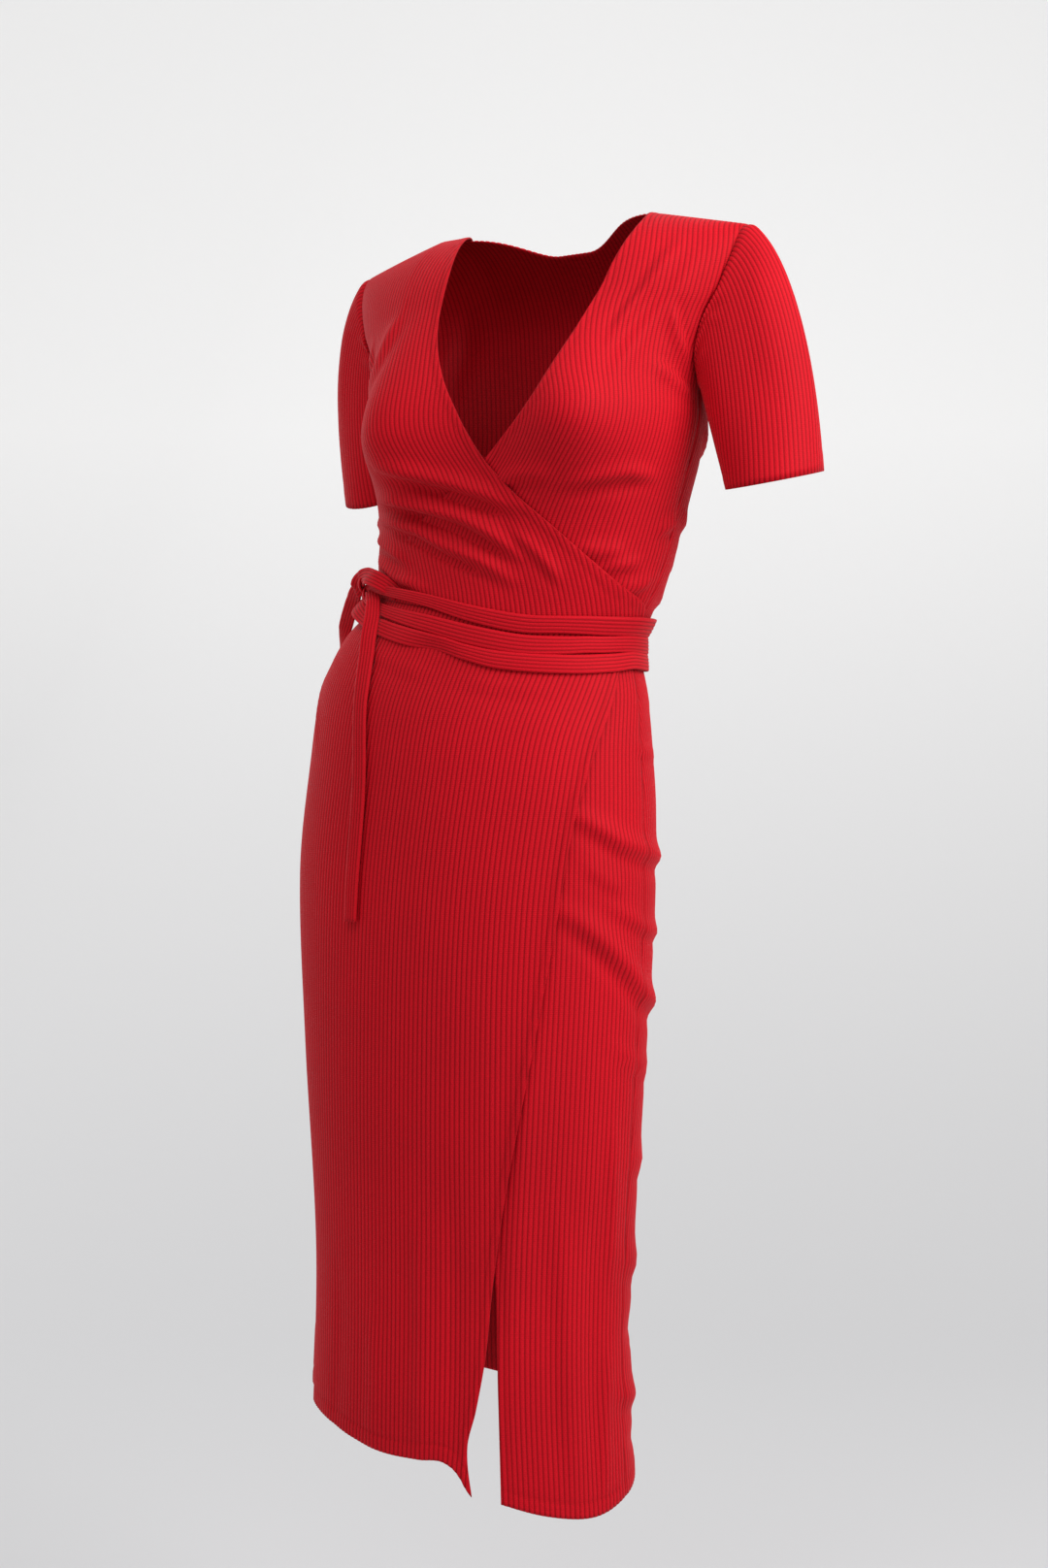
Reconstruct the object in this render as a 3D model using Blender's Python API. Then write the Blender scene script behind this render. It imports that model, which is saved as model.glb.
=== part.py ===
"""Wrap dress in rib knit, worn: bodice, skirt and sleeve panels, wound tie, knot and two free ends.

Metres, +Z up, +X to the wearer's left, -Y to the front. The origin is the middle of the shoulder line.
Every panel lies on one worn form. A place on the form is an angle in degrees (0 at the centre front,
90 at the left side seam, 180 at the centre back, -90 at the right side seam) and a height below the
neck points of the shoulders.
"""

from math import cos, degrees, exp, pi, radians, sin, sqrt

import bmesh
import bpy
from mathutils import Matrix, Vector

# Driving sizes
WALL = 0.0015  # cloth wall
SEAM_GAP = 0.0004  # between two pieces sewn edge to edge
LAP_LIFT = 0.0030  # how far the right front lies outside the left front
SHOULDER_ROUND = 0.080  # height over which front and back round into the shoulder seam
SHOULDER_DROP = 0.021  # the sleeve seam's top lies this far under the neck point
NECK_X = 0.100  # the shoulder starts to slope beyond this distance from the centre
TIP_X = 0.190  # the shoulder's tip
WAIST = -0.352  # waist seam, hidden by the tie
ARMPIT = -0.155
ARMHOLE_MID = -0.090
ARMHOLE_FRONT = 14.0  # degrees from the side seam to the armhole's front edge
ARMHOLE_BACK = 20.0  # and to its back edge
ARMHOLE_TOP = 17.0  # and to both, where they meet on the shoulder
TOP_BLEND = -0.050  # the edges turn towards each other above this height
CUP_X = 0.082  # bust fullness, either side of the centre
CUP_Z = -0.194
CUP_RADIUS = 0.062
CUP_DEPTH = 0.050
BACK_NECK_DROP = 0.030
TIE_WALL = 0.0028
TIE_LIFT = 0.0043  # inner face of the tie, outside the form
SLEEVE_BULGE = 0.060  # roundness of the sleeve cap
CAP_PUSH = Vector((1.0, 0.0, -0.12))  # the way the left cap bulges
FRONT_SHARE = 0.18  # the cap bulges this share of that forwards and back
CUFF_RADIUS = 0.0430
CUFF_DIP = 0.0100  # the cuff's front lies this far under its middle
CUFF_TILT = 0.0150  # rise of the cuff from its outer to its inner edge
CUFF_LEAN = 0.35  # rise over run of the cuff's outer point from its centre
CUFF_LEVEL = 0.35  # share of the tilt at the cuff's middle
SLEEVE_CLEAR = 0.0008  # the sleeve's seam, outside the armhole's edge
RED = (0.42, 0.006, 0.018)

# Level rings of the form, from the shoulder down to the hem.
# height, centre_x, centre_y, half_width, front_depth, back_depth, slope to the wearer's left
RINGS = (
    (0.000, 0.000, 0.010, 0.204, 0.070, 0.078, 0.00),
    (-0.050, -0.003, 0.008, 0.196, 0.088, 0.090, 0.00),
    (-0.100, -0.003, 0.004, 0.175, 0.098, 0.100, 0.00),
    (-0.155, 0.001, 0.000, 0.154, 0.104, 0.104, 0.00),
    (-0.190, 0.002, -0.003, 0.152, 0.104, 0.104, 0.00),
    (-0.250, -0.006, -0.009, 0.147, 0.098, 0.100, 0.00),
    (-0.310, -0.016, -0.015, 0.139, 0.091, 0.094, -0.08),
    (-0.355, -0.028, -0.018, 0.126, 0.091, 0.094, -0.18),
    (-0.395, -0.041, -0.022, 0.147, 0.096, 0.102, -0.20),
    (-0.440, -0.048, -0.028, 0.160, 0.104, 0.114, -0.18),
    (-0.500, -0.050, -0.032, 0.167, 0.108, 0.120, -0.15),
    (-0.600, -0.054, -0.036, 0.172, 0.110, 0.118, -0.14),
    (-0.750, -0.053, -0.040, 0.164, 0.108, 0.106, -0.14),
    (-0.940, -0.051, -0.042, 0.152, 0.104, 0.098, -0.14),
    (-1.110, -0.050, -0.044, 0.156, 0.108, 0.102, -0.14),
)

# Free edges. height, angle
RIGHT_NECKLINE = (
    (0.000, -24.0), (-0.030, -18.5), (-0.062, -14.5), (-0.095, -14.0), (-0.124, -12.5), (-0.150, -10.0),
    (-0.175, -6.5), (-0.200, -2.0), (-0.228, 5.0), (-0.255, 16.0), (-0.279, 30.0), (-0.301, 46.0),
    (-0.318, 64.0), (-0.332, 89.0), (-0.352, 90.0),
)
LEFT_NECKLINE = (
    (0.000, 30.5), (-0.030, 35.0), (-0.060, 35.0), (-0.090, 33.0), (-0.125, 29.0), (-0.162, 22.5),
    (-0.189, 15.5), (-0.208, 9.5), (-0.228, 2.5), (-0.255, -11.0), (-0.285, -28.0), (-0.315, -43.0),
    (-0.352, -58.0),
)
RIGHT_WRAP_EDGE = (
    (-0.352, 86.0), (-0.377, 76.0), (-0.418, 67.0), (-0.467, 59.0), (-0.519, 53.0), (-0.598, 48.5),
    (-0.710, 42.0), (-0.836, 34.2), (-0.913, 30.5), (-0.968, 28.5), (-1.016, 25.2), (-1.048, 22.4),
    (-1.084, 24.5),
)
LEFT_WRAP_EDGE = (
    (-0.352, -45.0), (-0.520, -14.0), (-0.680, 10.0), (-0.820, 25.0), (-0.900, 31.0), (-1.000, 32.5),
    (-1.092, 33.5),
)
# The hem of the right front, which ends in a drooping corner. angle, height
RIGHT_HEM = ((-90.0, -1.066), (-40.0, -1.070), (-10.0, -1.074), (12.0, -1.064), (18.0, -1.066), (24.5, -1.084))
LEFT_HEM = ((30.0, -1.088), (50.0, -1.095), (70.0, -1.096), (90.0, -1.086))
BACK_HEM = ((90.0, -1.086), (135.0, -1.066), (180.0, -1.055), (225.0, -1.056), (270.0, -1.066))

# The largest folds: a soft ridge, or a trough where height_out is negative, from one place to another.
# angle_1, height_1, angle_2, height_2, half_width, height_out
FRONT_FOLDS = (
    (-40.0, -0.222, 19.0, -0.268, 0.011, 0.0035),
    (-48.0, -0.247, 14.0, -0.294, 0.011, 0.0035),
    (-50.0, -0.272, 20.0, -0.322, 0.011, 0.0030),
)
SKIRT_FOLDS = (
    (52.0, -0.510, 104.0, -0.550, 0.015, 0.0070),
    (47.0, -0.592, 100.0, -0.660, 0.016, 0.0090),
    (16.0, -0.840, 17.0, -1.080, 0.012, -0.0030),
    (-80.0, -1.000, -80.0, -1.120, 0.022, 0.0070),
    (96.0, -1.020, 96.0, -1.140, 0.024, 0.0080),
)

# The three stretches of tie. angle, height on the form, lift outside the form, width
TIE_UPPER = (
    (-64.5, -0.3370, 0.0, 0.0100), (-45.0, -0.3405, 0.0, 0.0100), (-14.0, -0.3461, 0.0, 0.0105),
    (8.0, -0.3514, 0.0, 0.0122), (29.0, -0.3530, 0.0, 0.0130), (46.0, -0.3493, 0.0, 0.0125),
    (60.0, -0.3465, 0.0, 0.0122), (90.0, -0.3430, 0.0, 0.0118), (180.0, -0.3450, 0.0, 0.0142),
    (250.0, -0.3420, 0.0, 0.0142), (285.5, -0.3388, 0.0, 0.0100),
)
TIE_MIDDLE = (
    (-66.5, -0.3530, 0.0, 0.0100), (-45.0, -0.3615, 0.0, 0.0100), (-9.0, -0.3660, 0.0, 0.0130),
    (11.0, -0.3690, 0.0, 0.0142), (30.0, -0.3694, 0.0, 0.0140), (48.0, -0.3648, 0.0, 0.0124),
    (60.0, -0.3613, 0.0, 0.0120), (90.0, -0.3560, 0.0, 0.0116), (180.0, -0.3606, 0.0, 0.0142),
    (250.0, -0.3576, 0.0, 0.0142), (286.5, -0.3533, 0.0, 0.0100),
)
TIE_LOWER = (
    (-66.5, -0.3665, 0.0, 0.0118), (-45.0, -0.3743, 0.0, 0.0125), (-30.0, -0.3777, 0.0, 0.0122),
    (-14.0, -0.3802, 0.0, 0.0130), (1.0, -0.3806, 0.0, 0.0117), (23.0, -0.3845, 0.0, 0.0134),
    (49.0, -0.3792, 0.0, 0.0134), (71.0, -0.3732, 0.0, 0.0128), (90.0, -0.3688, 0.0, 0.0118),
    (180.0, -0.3761, 0.0, 0.0142), (250.0, -0.3726, 0.0, 0.0142), (286.5, -0.3672, 0.0, 0.0118),
)
# Free ends of the tie, hanging from the knot. angle, height, lift outside the form, width
TAIL_FRONT = (
    (-52.0, -0.352, 0.0090, 0.012), (-44.0, -0.362, 0.0105, 0.013), (-34.5, -0.376, 0.0092, 0.014),
    (-28.5, -0.396, 0.0078, 0.015), (-24.1, -0.423, 0.0055, 0.016), (-19.6, -0.480, 0.0046, 0.016),
    (-17.8, -0.534, 0.0044, 0.016), (-17.6, -0.627, 0.0042, 0.014),
)
TAIL_BACK = (
    (-80.0, -0.346, 0.0140, 0.012), (-83.0, -0.362, 0.0190, 0.015), (-87.0, -0.383, 0.0155, 0.016),
    (-91.0, -0.410, 0.0085, 0.016), (-95.0, -0.450, 0.0050, 0.016), (-98.0, -0.500, 0.0045, 0.016),
    (-99.0, -0.560, 0.0045, 0.016), (-99.0, -0.610, 0.0045, 0.014),
)
KNOT_ANGLE = -70.0
KNOT_HEIGHT = -0.334
KNOT_LIFT = 0.0148
KNOT_SIZE = (0.019, 0.024, 0.030)

# Cuff centres, and the heights at which the bodice's rows lie
CUFF_LEFT = Vector((0.221, 0.006, -0.238))
CUFF_RIGHT = Vector((-0.198, 0.045, -0.213))
BODICE_ROWS = (
    WAIST, -0.338, -0.322, -0.300, -0.277, -0.253, -0.228, -0.202, -0.178, ARMPIT, -0.149, -0.136, -0.115,
    ARMHOLE_MID, -0.062, -0.036, -0.014, 0.000,
)
FRONT_ROWS = sorted((*BODICE_ROWS, -0.330, -0.315, -0.308, -0.289))  # closer where the lap's edge slants most
HEM = "hem"
SKIRT_ROWS = (
    HEM, -1.045, -1.000, -0.940, -0.860, -0.780, -0.700, -0.650, -0.620, -0.590, -0.555, -0.530, -0.505, -0.475,
    -0.440, -0.408, -0.386, -0.368, WAIST - SEAM_GAP,
)
COLUMN_STEP = 9.0  # degrees between the columns of a panel


def clear_scene():
    for thing in list(bpy.data.objects):
        bpy.data.objects.remove(thing, do_unlink=True)


def smooth_step(low, high, value):
    t = min(max((value - low) / (high - low), 0.0), 1.0)
    return t * t * (3.0 - 2.0 * t)


def read_curve(table, value, column=1):
    """A smooth curve through a table's rows, keyed by its first column."""
    rows = sorted(table)
    value = min(max(value, rows[0][0]), rows[-1][0])
    i = max(k for k in range(len(rows) - 1) if rows[k][0] <= value)

    def slope(k):
        low = max(k - 1, 0)
        high = min(k + 1, len(rows) - 1)
        return (rows[high][column] - rows[low][column]) / (rows[high][0] - rows[low][0])

    span = rows[i + 1][0] - rows[i][0]
    t = (value - rows[i][0]) / span
    start = (2 * t**3 - 3 * t**2 + 1) * rows[i][column] + (t**3 - 2 * t**2 + t) * span * slope(i)
    end = (3 * t**2 - 2 * t**3) * rows[i + 1][column] + (t**3 - t**2) * span * slope(i + 1)
    return start + end


def bare_form(angle, height):
    """The worn form, without folds."""
    centre_x, centre_y, half_width, front_depth, back_depth, slope = (
        read_curve(RINGS, height, column) for column in range(1, 7)
    )
    across = sin(radians(angle))
    forward = cos(radians(angle))
    z = height
    depth_share = 1.0
    if height > -SHOULDER_ROUND:
        turn = (height + SHOULDER_ROUND) / SHOULDER_ROUND * pi / 2
        z = SHOULDER_ROUND * (sin(turn) - 1.0)
        depth_share = cos(turn)
    x = centre_x + half_width * across
    depth = front_depth if forward > 0 else back_depth
    y = centre_y - depth * depth_share * forward
    beyond_neck = max(0.0, (abs(x) - NECK_X) / (TIP_X - NECK_X))
    z += slope * (x - centre_x) - SHOULDER_DROP * beyond_neck * smooth_step(ARMPIT, 0.0, height)
    if forward > 0:
        for side in (-1, 1):
            below = 0.85 if z < CUP_Z else 1.30
            reach = ((x - side * CUP_X) / CUP_RADIUS) ** 2 + ((z - CUP_Z) / (CUP_RADIUS * below)) ** 2
            swell = CUP_DEPTH * exp(-reach) * sqrt(forward)
            y -= 0.90 * swell
            x += 0.42 * side * swell
    return Vector((x, y, z))


def outward(angle, height):
    step = 0.5
    rise = 0.0008
    top = min(height + rise, 0.0)
    across = bare_form(angle + step, height) - bare_form(angle - step, height)
    up = bare_form(angle, top) - bare_form(angle, top - 2 * rise)
    normal = across.cross(up)
    if height >= 0.0:
        normal.y = 0.0  # front and back round into each other at the shoulder seam
    return normal.normalized()


def fold_height(folds, angle, height):
    """How far the folds of a table push the cloth outwards at a place on the form."""
    total = 0.0
    around = radians(1.0) * 0.14
    for angle_1, height_1, angle_2, height_2, half_width, height_out in folds:
        along = Vector(((angle_2 - angle_1) * around, height_2 - height_1))
        here = Vector(((angle - angle_1) * around, height - height_1))
        t = here.dot(along) / along.length_squared
        off = (here - along * t).length
        ends = smooth_step(-0.10, 0.22, t) * smooth_step(1.10, 0.80, t)
        total += height_out * ends * exp(-((off / half_width) ** 2))
    return total


def on_form(angle, height, lift=0.0, folds=(), sewn=0):
    """A place on the form, lifted outwards. sewn is -1 on a front and 1 on a back, set apart by the seam."""
    lift += fold_height(folds, angle, height)
    place = bare_form(angle, height) + outward(angle, height) * lift
    place.y += sewn * SEAM_GAP / 2
    return place


def side_limit(height, widest):
    """Degrees from the side seam to one edge of the armhole: none below the armpit."""
    if height <= ARMPIT:
        return 0.0
    if height >= ARMHOLE_MID:
        return widest + (ARMHOLE_TOP - widest) * smooth_step(TOP_BLEND, 0.0, height)
    reach = (ARMHOLE_MID - height) / (ARMHOLE_MID - ARMPIT)
    return widest * sqrt(1.0 - reach * reach)


def lap_lift(angle, height):
    """The right front's lift: none at its side seam and shoulder, full where it covers the left front."""
    return LAP_LIFT * smooth_step(-74.0, -58.0, angle) * smooth_step(-0.020, -0.120, height)


def skirt_lap_lift(angle, height):
    return LAP_LIFT * smooth_step(-74.0, -50.0, angle)


def red_cloth(name, shade):
    material = bpy.data.materials.new(name + "_cloth")
    material.use_nodes = True
    principled = material.node_tree.nodes["Principled BSDF"]
    principled.inputs["Base Color"].default_value = (*(shade * part for part in RED), 1.0)
    principled.inputs["Roughness"].default_value = 0.85
    principled.inputs["Metallic"].default_value = 0.0
    return material


def add_piece(name, bm, shade):
    mesh = bpy.data.meshes.new(name)
    bm.to_mesh(mesh)
    bm.free()
    mesh.materials.append(red_cloth(name, shade))
    mesh.shade_smooth()
    piece = bpy.data.objects.new(name, mesh)
    dress.objects.link(piece)
    return piece


def add_strip(bm, first, second):
    """Faces between two lines of corners; they face right of the way along, seen from the second line."""
    for a, b, c, d in zip(first, first[1:], second[1:], second):
        bm.faces.new((a, b, c, d))


def cloth_wall(name, outer, inner, shade):
    """A closed wall from two grids of points. Rows run towards rising angle, and follow each other upwards."""
    bm = bmesh.new()
    outside = [[bm.verts.new(point) for point in row] for row in outer]
    inside = [[bm.verts.new(point) for point in row] for row in inner]
    for lower, upper in zip(outside, outside[1:]):
        add_strip(bm, lower, upper)
    for lower, upper in zip(inside, inside[1:]):
        add_strip(bm, upper, lower)
    add_strip(bm, inside[0], outside[0])
    add_strip(bm, outside[-1], inside[-1])
    add_strip(bm, [row[0] for row in outside], [row[0] for row in inside])
    add_strip(bm, [row[-1] for row in inside], [row[-1] for row in outside])
    bmesh.ops.remove_doubles(bm, verts=bm.verts, dist=0.00001)
    return add_piece(name, bm, shade)


def panel(name, rows, angles, start, end, hem, lift, folds, sewn, shade):
    """A panel between two side edges, each an angle for a height. Columns past an edge close up on it.

    A row is a height, or a function that gives a height for an angle. The lowest one may be the hem.
    """
    outer = []
    inner = []
    for row in rows:
        height = row
        outer_row = []
        inner_row = []
        for column in angles:
            angle = column
            for _ in range(3):
                height = hem(angle) if row is HEM else row(angle) if callable(row) else row
                angle = min(max(column, start(height)), end(height))
            out = lift(angle, height)
            outer_row.append(on_form(angle, height, out, folds, sewn))
            inner_row.append(on_form(angle, height, out - WALL, folds, sewn))
        outer.append(outer_row)
        inner.append(inner_row)
    return cloth_wall(name, outer, inner, shade)


def even_angles(first, last):
    count = round((last - first) / COLUMN_STEP)
    return [first + (last - first) * i / count for i in range(count + 1)]


def no_lift(angle, height):
    return 0.0


def make_bodice_fronts():
    angles = even_angles(-90.0, 90.0)
    panel(
        "bodice_front_right", FRONT_ROWS, angles, lambda h: side_limit(h, ARMHOLE_FRONT) - 90.0,
        lambda h: read_curve(RIGHT_NECKLINE, h), None, lap_lift, FRONT_FOLDS, -1, 1.0,
    )
    panel(
        "bodice_front_left", FRONT_ROWS, angles, lambda h: read_curve(LEFT_NECKLINE, h),
        lambda h: 90.0 - side_limit(h, ARMHOLE_FRONT), None, no_lift, (), -1, 1.1,
    )


def back_row(height):
    """A row of the back: level, but scooped between the neck points towards the top."""
    blend = max(0.0, (height - ARMHOLE_MID) / -ARMHOLE_MID)

    def scooped(angle):
        across = read_curve(RINGS, 0.0, 3) * abs(sin(radians(angle)))
        return height - BACK_NECK_DROP * blend * smooth_step(0.096, 0.015, across)

    return scooped


def make_bodice_back():
    rows = [back_row(height) for height in BODICE_ROWS]
    panel(
        "bodice_back", rows, even_angles(90.0, 270.0), lambda h: 90.0 + side_limit(h, ARMHOLE_BACK),
        lambda h: 270.0 - side_limit(h, ARMHOLE_BACK), None, no_lift, (), 1, 0.9,
    )


def make_skirt():
    front = even_angles(-90.0, 90.0)
    panel(
        "skirt_front_right", SKIRT_ROWS, front, lambda h: -90.0, lambda h: read_curve(RIGHT_WRAP_EDGE, h),
        lambda a: read_curve(RIGHT_HEM, a), skirt_lap_lift, SKIRT_FOLDS, -1, 0.92,
    )
    panel(
        "skirt_front_left", SKIRT_ROWS, front, lambda h: read_curve(LEFT_WRAP_EDGE, h), lambda h: 90.0,
        lambda a: read_curve(LEFT_HEM, a), no_lift, SKIRT_FOLDS, -1, 1.05,
    )
    panel(
        "skirt_back", SKIRT_ROWS, even_angles(90.0, 270.0), lambda h: 90.0, lambda h: 270.0,
        lambda a: read_curve(BACK_HEM, a), no_lift, SKIRT_FOLDS, 1, 0.82,
    )


def armhole_loop(side):
    """Points round an armhole, from the armpit up the front, over the shoulder and down the back."""
    heights = [h for h in BODICE_ROWS if h > ARMPIT]
    front = [(side * (90.0 - side_limit(h, ARMHOLE_FRONT)), h) for h in heights]
    back = [(side * (90.0 + side_limit(h, ARMHOLE_BACK)), h) for h in reversed(heights[:-1])]
    return [on_form(side * 90.0, ARMPIT), *(on_form(a, h) for a, h in front), *(on_form(a, h) for a, h in back)]


def cloth_tube(name, outer, inner, shade):
    """A closed wall from rings of points that follow each other, open at both ends."""
    bm = bmesh.new()
    outside = [[bm.verts.new(point) for point in ring] for ring in outer]
    inside = [[bm.verts.new(point) for point in ring] for ring in inner]
    for ring in (*outside, *inside):
        ring.append(ring[0])
    for first, second in zip(outside, outside[1:]):
        add_strip(bm, first, second)
    for first, second in zip(inside, inside[1:]):
        add_strip(bm, second, first)
    add_strip(bm, inside[0], outside[0])
    add_strip(bm, outside[-1], inside[-1])
    return add_piece(name, bm, shade)


def make_sleeve(name, side, cuff, shade, rows=6):
    """A sleeve from its cuff to its armhole, with a rounded cap outside the shoulder."""
    loop = armhole_loop(side)
    count = len(loop)
    centre = sum(loop, Vector()) / count
    axis = (cuff - centre).normalized()
    outer = Vector((side, 0.0, CUFF_LEAN))
    outer = (outer - axis * outer.dot(axis)).normalized()
    ahead = axis.cross(outer) * side
    cap = Vector((side * CAP_PUSH.x, CAP_PUSH.y, CAP_PUSH.z))
    clear = Vector((side, 0.0, 0.0)) * SLEEVE_CLEAR
    outside = []
    inside = []
    for j in range(rows, -1, -1):
        t = (j / rows) ** 1.6
        bulge = SLEEVE_BULGE * t**0.4 * (1.0 - t)
        ring = []
        for i in range(count):
            turn = 2 * pi * i / count
            rim = cuff + (ahead * sin(turn) - outer * cos(turn)) * CUFF_RADIUS
            rim.z -= CUFF_DIP * sin(turn) + CUFF_TILT * (CUFF_LEVEL - (1.0 - CUFF_LEVEL) * cos(turn))
            push = cap * max(0.0, -cos(turn)) ** 1.5 + ahead * sin(turn) * FRONT_SHARE
            ring.append(loop[i] + (rim - loop[i]) * t + push * bulge + clear)
        middle = sum(ring, Vector()) / count
        if side < 0:
            ring.reverse()
        outside.append(ring)
        inside.append([point + (middle - point).normalized() * WALL for point in ring])
    cloth_tube(name, outside, inside, shade)


def make_band(name, table, lift, shade):
    """A stretch of tie: a flat band on the form, along a table's curve, with the panels' columns."""
    first = table[0][0]
    last = table[-1][0]
    inside = [[], []]
    outside = [[], []]
    for angle in [first, *(a for a in even_angles(-90.0, 270.0) if first < a < last), last]:
        height = read_curve(table, angle, 1)
        out = lift + read_curve(table, angle, 2)
        half = read_curve(table, angle, 3) / 2
        for k, edge in enumerate((height - half, height + half)):
            inside[k].append(on_form(angle, edge, out))
            outside[k].append(on_form(angle, edge, out + TIE_WALL))
    cloth_wall(name, outside, inside, shade)


def make_tail(name, table, shade, segments=14):
    """A free end of the tie, hanging along a table's rows, flat against the skirt."""
    rows = [(-row[1], *row) for row in table]
    low = rows[0][0]
    high = rows[-1][0]
    inside = []
    outside = []
    for i in range(segments, -1, -1):
        key = low + (high - low) * i / segments
        angle = read_curve(rows, key, 1)
        height = read_curve(rows, key, 2)
        out = read_curve(rows, key, 3)
        half = read_curve(rows, key, 4) / 2
        radius = (bare_form(angle + 1, height) - bare_form(angle - 1, height)).length / radians(2.0)
        spread = degrees(half / radius)
        edges = (angle - spread, angle + spread)
        inside.append([on_form(edge, height, out) for edge in edges])
        outside.append([on_form(edge, height, out + TIE_WALL) for edge in edges])
    cloth_wall(name, outside, inside, shade)


def make_knot():
    bpy.ops.mesh.primitive_uv_sphere_add(segments=16, ring_count=10, radius=0.5)
    knot = bpy.context.object
    knot.name = "tie_knot"
    knot.data.name = "tie_knot"
    knot.data.transform(Matrix.Diagonal((*KNOT_SIZE, 1.0)))
    knot.data.materials.append(red_cloth("tie_knot", 1.0))
    knot.data.shade_smooth()
    knot.location = on_form(KNOT_ANGLE, KNOT_HEIGHT, KNOT_LIFT)
    knot.rotation_euler = (0.0, 0.0, radians(KNOT_ANGLE) + pi / 2)
    for collection in list(knot.users_collection):
        collection.objects.unlink(knot)
    dress.objects.link(knot)


clear_scene()
dress = bpy.data.collections.new("wrap_dress")
bpy.context.scene.collection.children.link(dress)
make_bodice_back()
make_bodice_fronts()
make_skirt()
make_sleeve("sleeve_left", 1, CUFF_LEFT, 1.15)
make_sleeve("sleeve_right", -1, CUFF_RIGHT, 0.95)
make_band("tie_wrap_upper", TIE_UPPER, TIE_LIFT, 1.20)
make_band("tie_wrap_middle", TIE_MIDDLE, TIE_LIFT, 1.25)
make_band("tie_wrap_lower", TIE_LOWER, TIE_LIFT, 1.30)
make_tail("tie_tail_front", TAIL_FRONT, 1.10)
make_tail("tie_tail_back", TAIL_BACK, 0.95)
make_knot()
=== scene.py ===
from math import cos, pi, radians, sin

import bpy
import numpy as np
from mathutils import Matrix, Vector


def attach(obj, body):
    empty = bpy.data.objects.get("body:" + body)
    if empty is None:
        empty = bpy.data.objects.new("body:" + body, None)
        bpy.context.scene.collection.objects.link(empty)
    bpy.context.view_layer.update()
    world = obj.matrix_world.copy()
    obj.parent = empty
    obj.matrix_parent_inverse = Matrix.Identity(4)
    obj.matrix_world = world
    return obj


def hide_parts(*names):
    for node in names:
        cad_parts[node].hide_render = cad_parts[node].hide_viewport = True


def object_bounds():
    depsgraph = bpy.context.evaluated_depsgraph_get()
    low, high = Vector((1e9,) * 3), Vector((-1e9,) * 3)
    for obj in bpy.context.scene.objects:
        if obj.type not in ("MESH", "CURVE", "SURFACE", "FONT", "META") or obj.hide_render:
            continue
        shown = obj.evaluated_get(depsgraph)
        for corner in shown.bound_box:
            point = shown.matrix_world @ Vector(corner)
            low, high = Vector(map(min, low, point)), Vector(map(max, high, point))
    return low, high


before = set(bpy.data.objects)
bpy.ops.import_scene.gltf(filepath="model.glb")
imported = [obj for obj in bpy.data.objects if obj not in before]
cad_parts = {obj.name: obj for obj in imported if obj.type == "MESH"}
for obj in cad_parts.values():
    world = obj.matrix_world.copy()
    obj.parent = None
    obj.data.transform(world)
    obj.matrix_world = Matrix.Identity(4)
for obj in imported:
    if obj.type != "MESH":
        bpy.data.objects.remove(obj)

cad_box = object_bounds()

# ---------------------------------------------------------------- the worn form, as in the CAD
SHOULDER_ROUND = 0.080
SHOULDER_DROP = 0.021
NECK_X = 0.100
TIP_X = 0.190
WAIST = -0.352
ARMPIT = -0.155
ARMHOLE_MID = -0.090
ARMHOLE_FRONT = 14.0
ARMHOLE_BACK = 20.0
ARMHOLE_TOP = 17.0
TOP_BLEND = -0.050
CUP_X = 0.082
CUP_Z = -0.194
CUP_RADIUS = 0.062
CUP_DEPTH = 0.050
CUP_BELOW, CUP_ABOVE = 0.85, 1.30  # the cup's height to its width, below and above its point
CUP_FORWARD, CUP_ASIDE = 0.90, 0.42
BACK_NECK_DROP = 0.030
SLEEVE_BULGE = 0.060
CUFF_RADIUS = 0.0430
CUFF_DIP = 0.0100
CUFF_TILT = 0.0150  # rise of the cuff from its outer to its inner edge
CUFF_LEVEL = 0.35  # share of the tilt at the cuff's middle
CUFF_LEAN = 0.35  # rise over run of the cuff's outer point from its centre
CAP_DROP = -0.16  # the cap bulges outwards and this share of that upwards
CAP_FRONT = 0.18  # and this share of it forwards and back
CUFF_EASE = 1.6  # how much sooner the sleeve takes the armhole's shape than the cuff's
SLEEVE_REACH = 0.140  # about the sleeve's length from armhole to cuff
BULGE_GAIN = 1.06
FOLD_GIRTH = 0.32  # the sleeve's girth and length, as its creases are measured
FOLD_LENGTH = 0.16
SLEEVE_CLEAR = 0.0004  # the sleeve's seam, outside the armhole's edge
CUFF_LEFT = (0.221, 0.006, -0.238)
CUFF_RIGHT = (-0.198, 0.045, -0.213)
TIE_LIFT = 0.0032

CLOTH = 0.0013  # thickness of the knit
SEAM = 0.0002  # half the gap between two sewn pieces
LAP = 0.0022  # the right front lies this far outside the left front
RIB = 0.0044  # from one rib to the next
RIB_DEPTH = 0.00052
TUCK = 0.95  # the bodice runs on under the sleeve seam: share of the armhole it keeps to
HEM_STITCH = 0.0135  # from a hem's edge to its stitching
EDGE_STITCH = 0.0068  # from a neck or wrap edge to its stitching
CUFF_STITCH = 0.0125
NECK_STITCH = 0.0110
EDGE_SINK = 0.0004  # how far stitching sinks at a free edge
HEM_SINK = 0.00045  # and at a hem
HEM_DOUBLE = 0.00030  # the hem's second layer
EDGE_DOUBLE = 0.00025
SEAM_SINK = 0.0010  # how far the cloth sinks at the armhole
SEAM_TONE = 0.55  # the rib level at an edge, where ribs run out
FADE = 0.0012  # the ribs run out over this distance
FOLD_ROUND = 0.00235  # metres along the form for a degree, in the crease tables
EDGE_DEGREE = 0.0024  # and beside the back's armholes
HEM_FROM = -1.0  # below this height the rows take the hem's shape
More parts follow.
